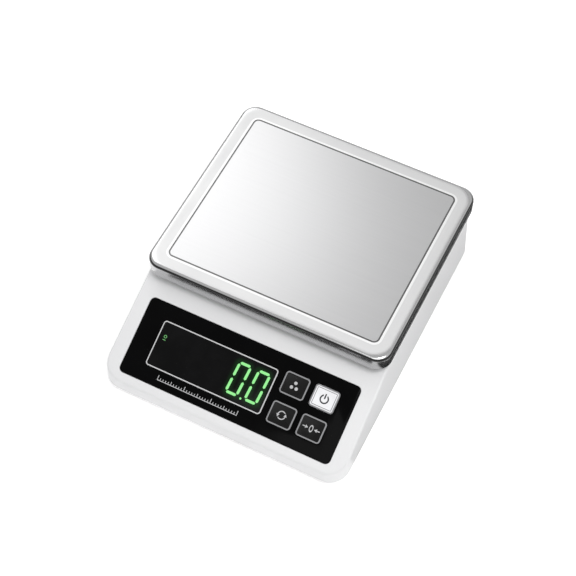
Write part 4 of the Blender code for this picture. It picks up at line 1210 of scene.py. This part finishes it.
def circuit_board():
    """Green solder mask over a net of tracks, with tinned pads between them."""
    material, tree, shader, coordinates = material_named("circuit_board", 0.35)
    copper = step_between(tree, cells_of(tree, coordinates, "DISTANCE_TO_EDGE"), 0.10, 0.05)
    tinned = step_between(tree, cells_of(tree, coordinates, "F1"), 0.16, 0.10)
    colour = blend_colours(tree, copper, (0.010, 0.130, 0.050), (0.030, 0.230, 0.095))
    tree.links.new(blend_colours(tree, tinned, colour, (0.62, 0.62, 0.60)),
                   shader.inputs["Base Color"])
    tree.links.new(tinned, shader.inputs["Metallic"])
    raise_by(tree, shader, copper, 0.03 * mm, 0.6)
    return material


CHIP_PLASTIC = moulded("chip_plastic", (0.030, 0.030, 0.032), (0.042, 0.042, 0.044), 0.50,
                       0.03 * mm)
dress(circuit_board(), "main_board", "charge_board")
dress(CHIP_PLASTIC, "controller_chip", "lead_connector",
      *(key.replace("key", "switch") for key in KEYS))


# ---------------------------------------------------------------- battery
# Two rechargeable cells in printed blue sleeves lie side by side in a bay of the base,
# between sprung contacts. A screwed cover with a rubber seal closes the bay from below.
COVER_CORNER = 2.7 * mm
COVER_GRIPS = 5
GRIP_STEP = 3.0 * mm
GRIP_SIZE = (16.0 * mm, 1.2 * mm, 0.8 * mm)
HEAD_RADIUS = 2.9 * mm
SHANK_RADIUS = 1.7 * mm
CAP_STEP = 0.5 * mm

SLEEVE = streaked("cell_sleeve", 0.0, (40.0, 700.0, 40.0),
                  (0.03, 0.12, 0.38), (0.06, 0.20, 0.52), (0.28, 0.44), 0.02 * mm)
battery_low, battery_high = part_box("battery_cell_left")
left_middle = middle_of("battery_cell_left")
battery = rod("battery_left", (battery_high.x - battery_low.x) / 2, battery_high.y - battery_low.y,
              left_middle, (math.pi / 2, 0.0, 0.0), 48)
pick(battery, "EDGE",
     lambda edge: sorted(abs(round(face.normal.y)) for face in edge.link_faces) == [0, 1])
round_picked(0.7 * mm, 3)
for end in (-1, 1):
    pick(battery, "FACE", lambda face: face.normal.y * end > 0.9 and len(face.verts) > 4)
    bpy.ops.mesh.inset(thickness=1.2 * mm)
    bpy.ops.mesh.inset(thickness=CAP_STEP)
    bpy.ops.transform.translate(value=(0.0, -end * CAP_STEP, 0.0))
clean(battery)
other = copied(battery, "battery_right", middle_of("battery_cell_right") - left_middle)
finish_with(battery, SLEEVE, "housing", "cell_sleeve", "battery_cell_left")
finish_with(other, SLEEVE, "housing", "cell_sleeve", "battery_cell_right")

cover_low, cover_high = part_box("battery_cover")
cover_middle = middle_of("battery_cover")
cover = block("battery_door", cover_high - cover_low, cover_middle, COVER_CORNER, 6)
round_rim(cover, cover_low.z, 0.3 * mm, 2)
for name in ("front", "back"):
    screw_middle = middle_of("battery_cover_screw_" + name)
    carve(cover, disc("hole_tool", HEAD_RADIUS, cover_low.z - mm, cover_low.z + mm,
                      screw_middle.xy, 28))
    carve(cover, disc("hole_tool", SHANK_RADIUS, cover_low.z - mm, cover_high.z + mm,
                      screw_middle.xy, 20))
for number in range(COVER_GRIPS):
    shift = (number - (COVER_GRIPS - 1) / 2) * GRIP_STEP
    carve(cover, block("grip_tool", GRIP_SIZE,
                       (cover_middle.x, cover_middle.y + shift, cover_low.z), 0.5 * mm, 4))
clean(cover)
finish_with(cover, WHITE_ABS, "housing", "white_abs", "battery_cover")


# ---------------------------------------------------------------- leads
# Three sleeved leads run inside the housing, from the load cell, the battery bay and the
# charging board to the main board. They are clipped along their way, so they keep their route.
def lead_sleeve():
    """Dark red PVC, matt from the extruder and uneven in its colour."""
    material, tree, shader, coordinates = material_named("lead_sleeve")
    streaks = noise(tree, coordinates, 160.0, 3.0)
    paint(tree, shader, blend_colours(tree, streaks, (0.26, 0.015, 0.015), (0.36, 0.040, 0.035)),
          spread(tree, streaks, 0.44, 0.58))
    raise_by(tree, shader, noise(tree, coordinates, 1500.0), 0.01 * mm, 0.3)
    return material


dress(lead_sleeve(), "load_cell_lead", "battery_lead", "charge_lead")
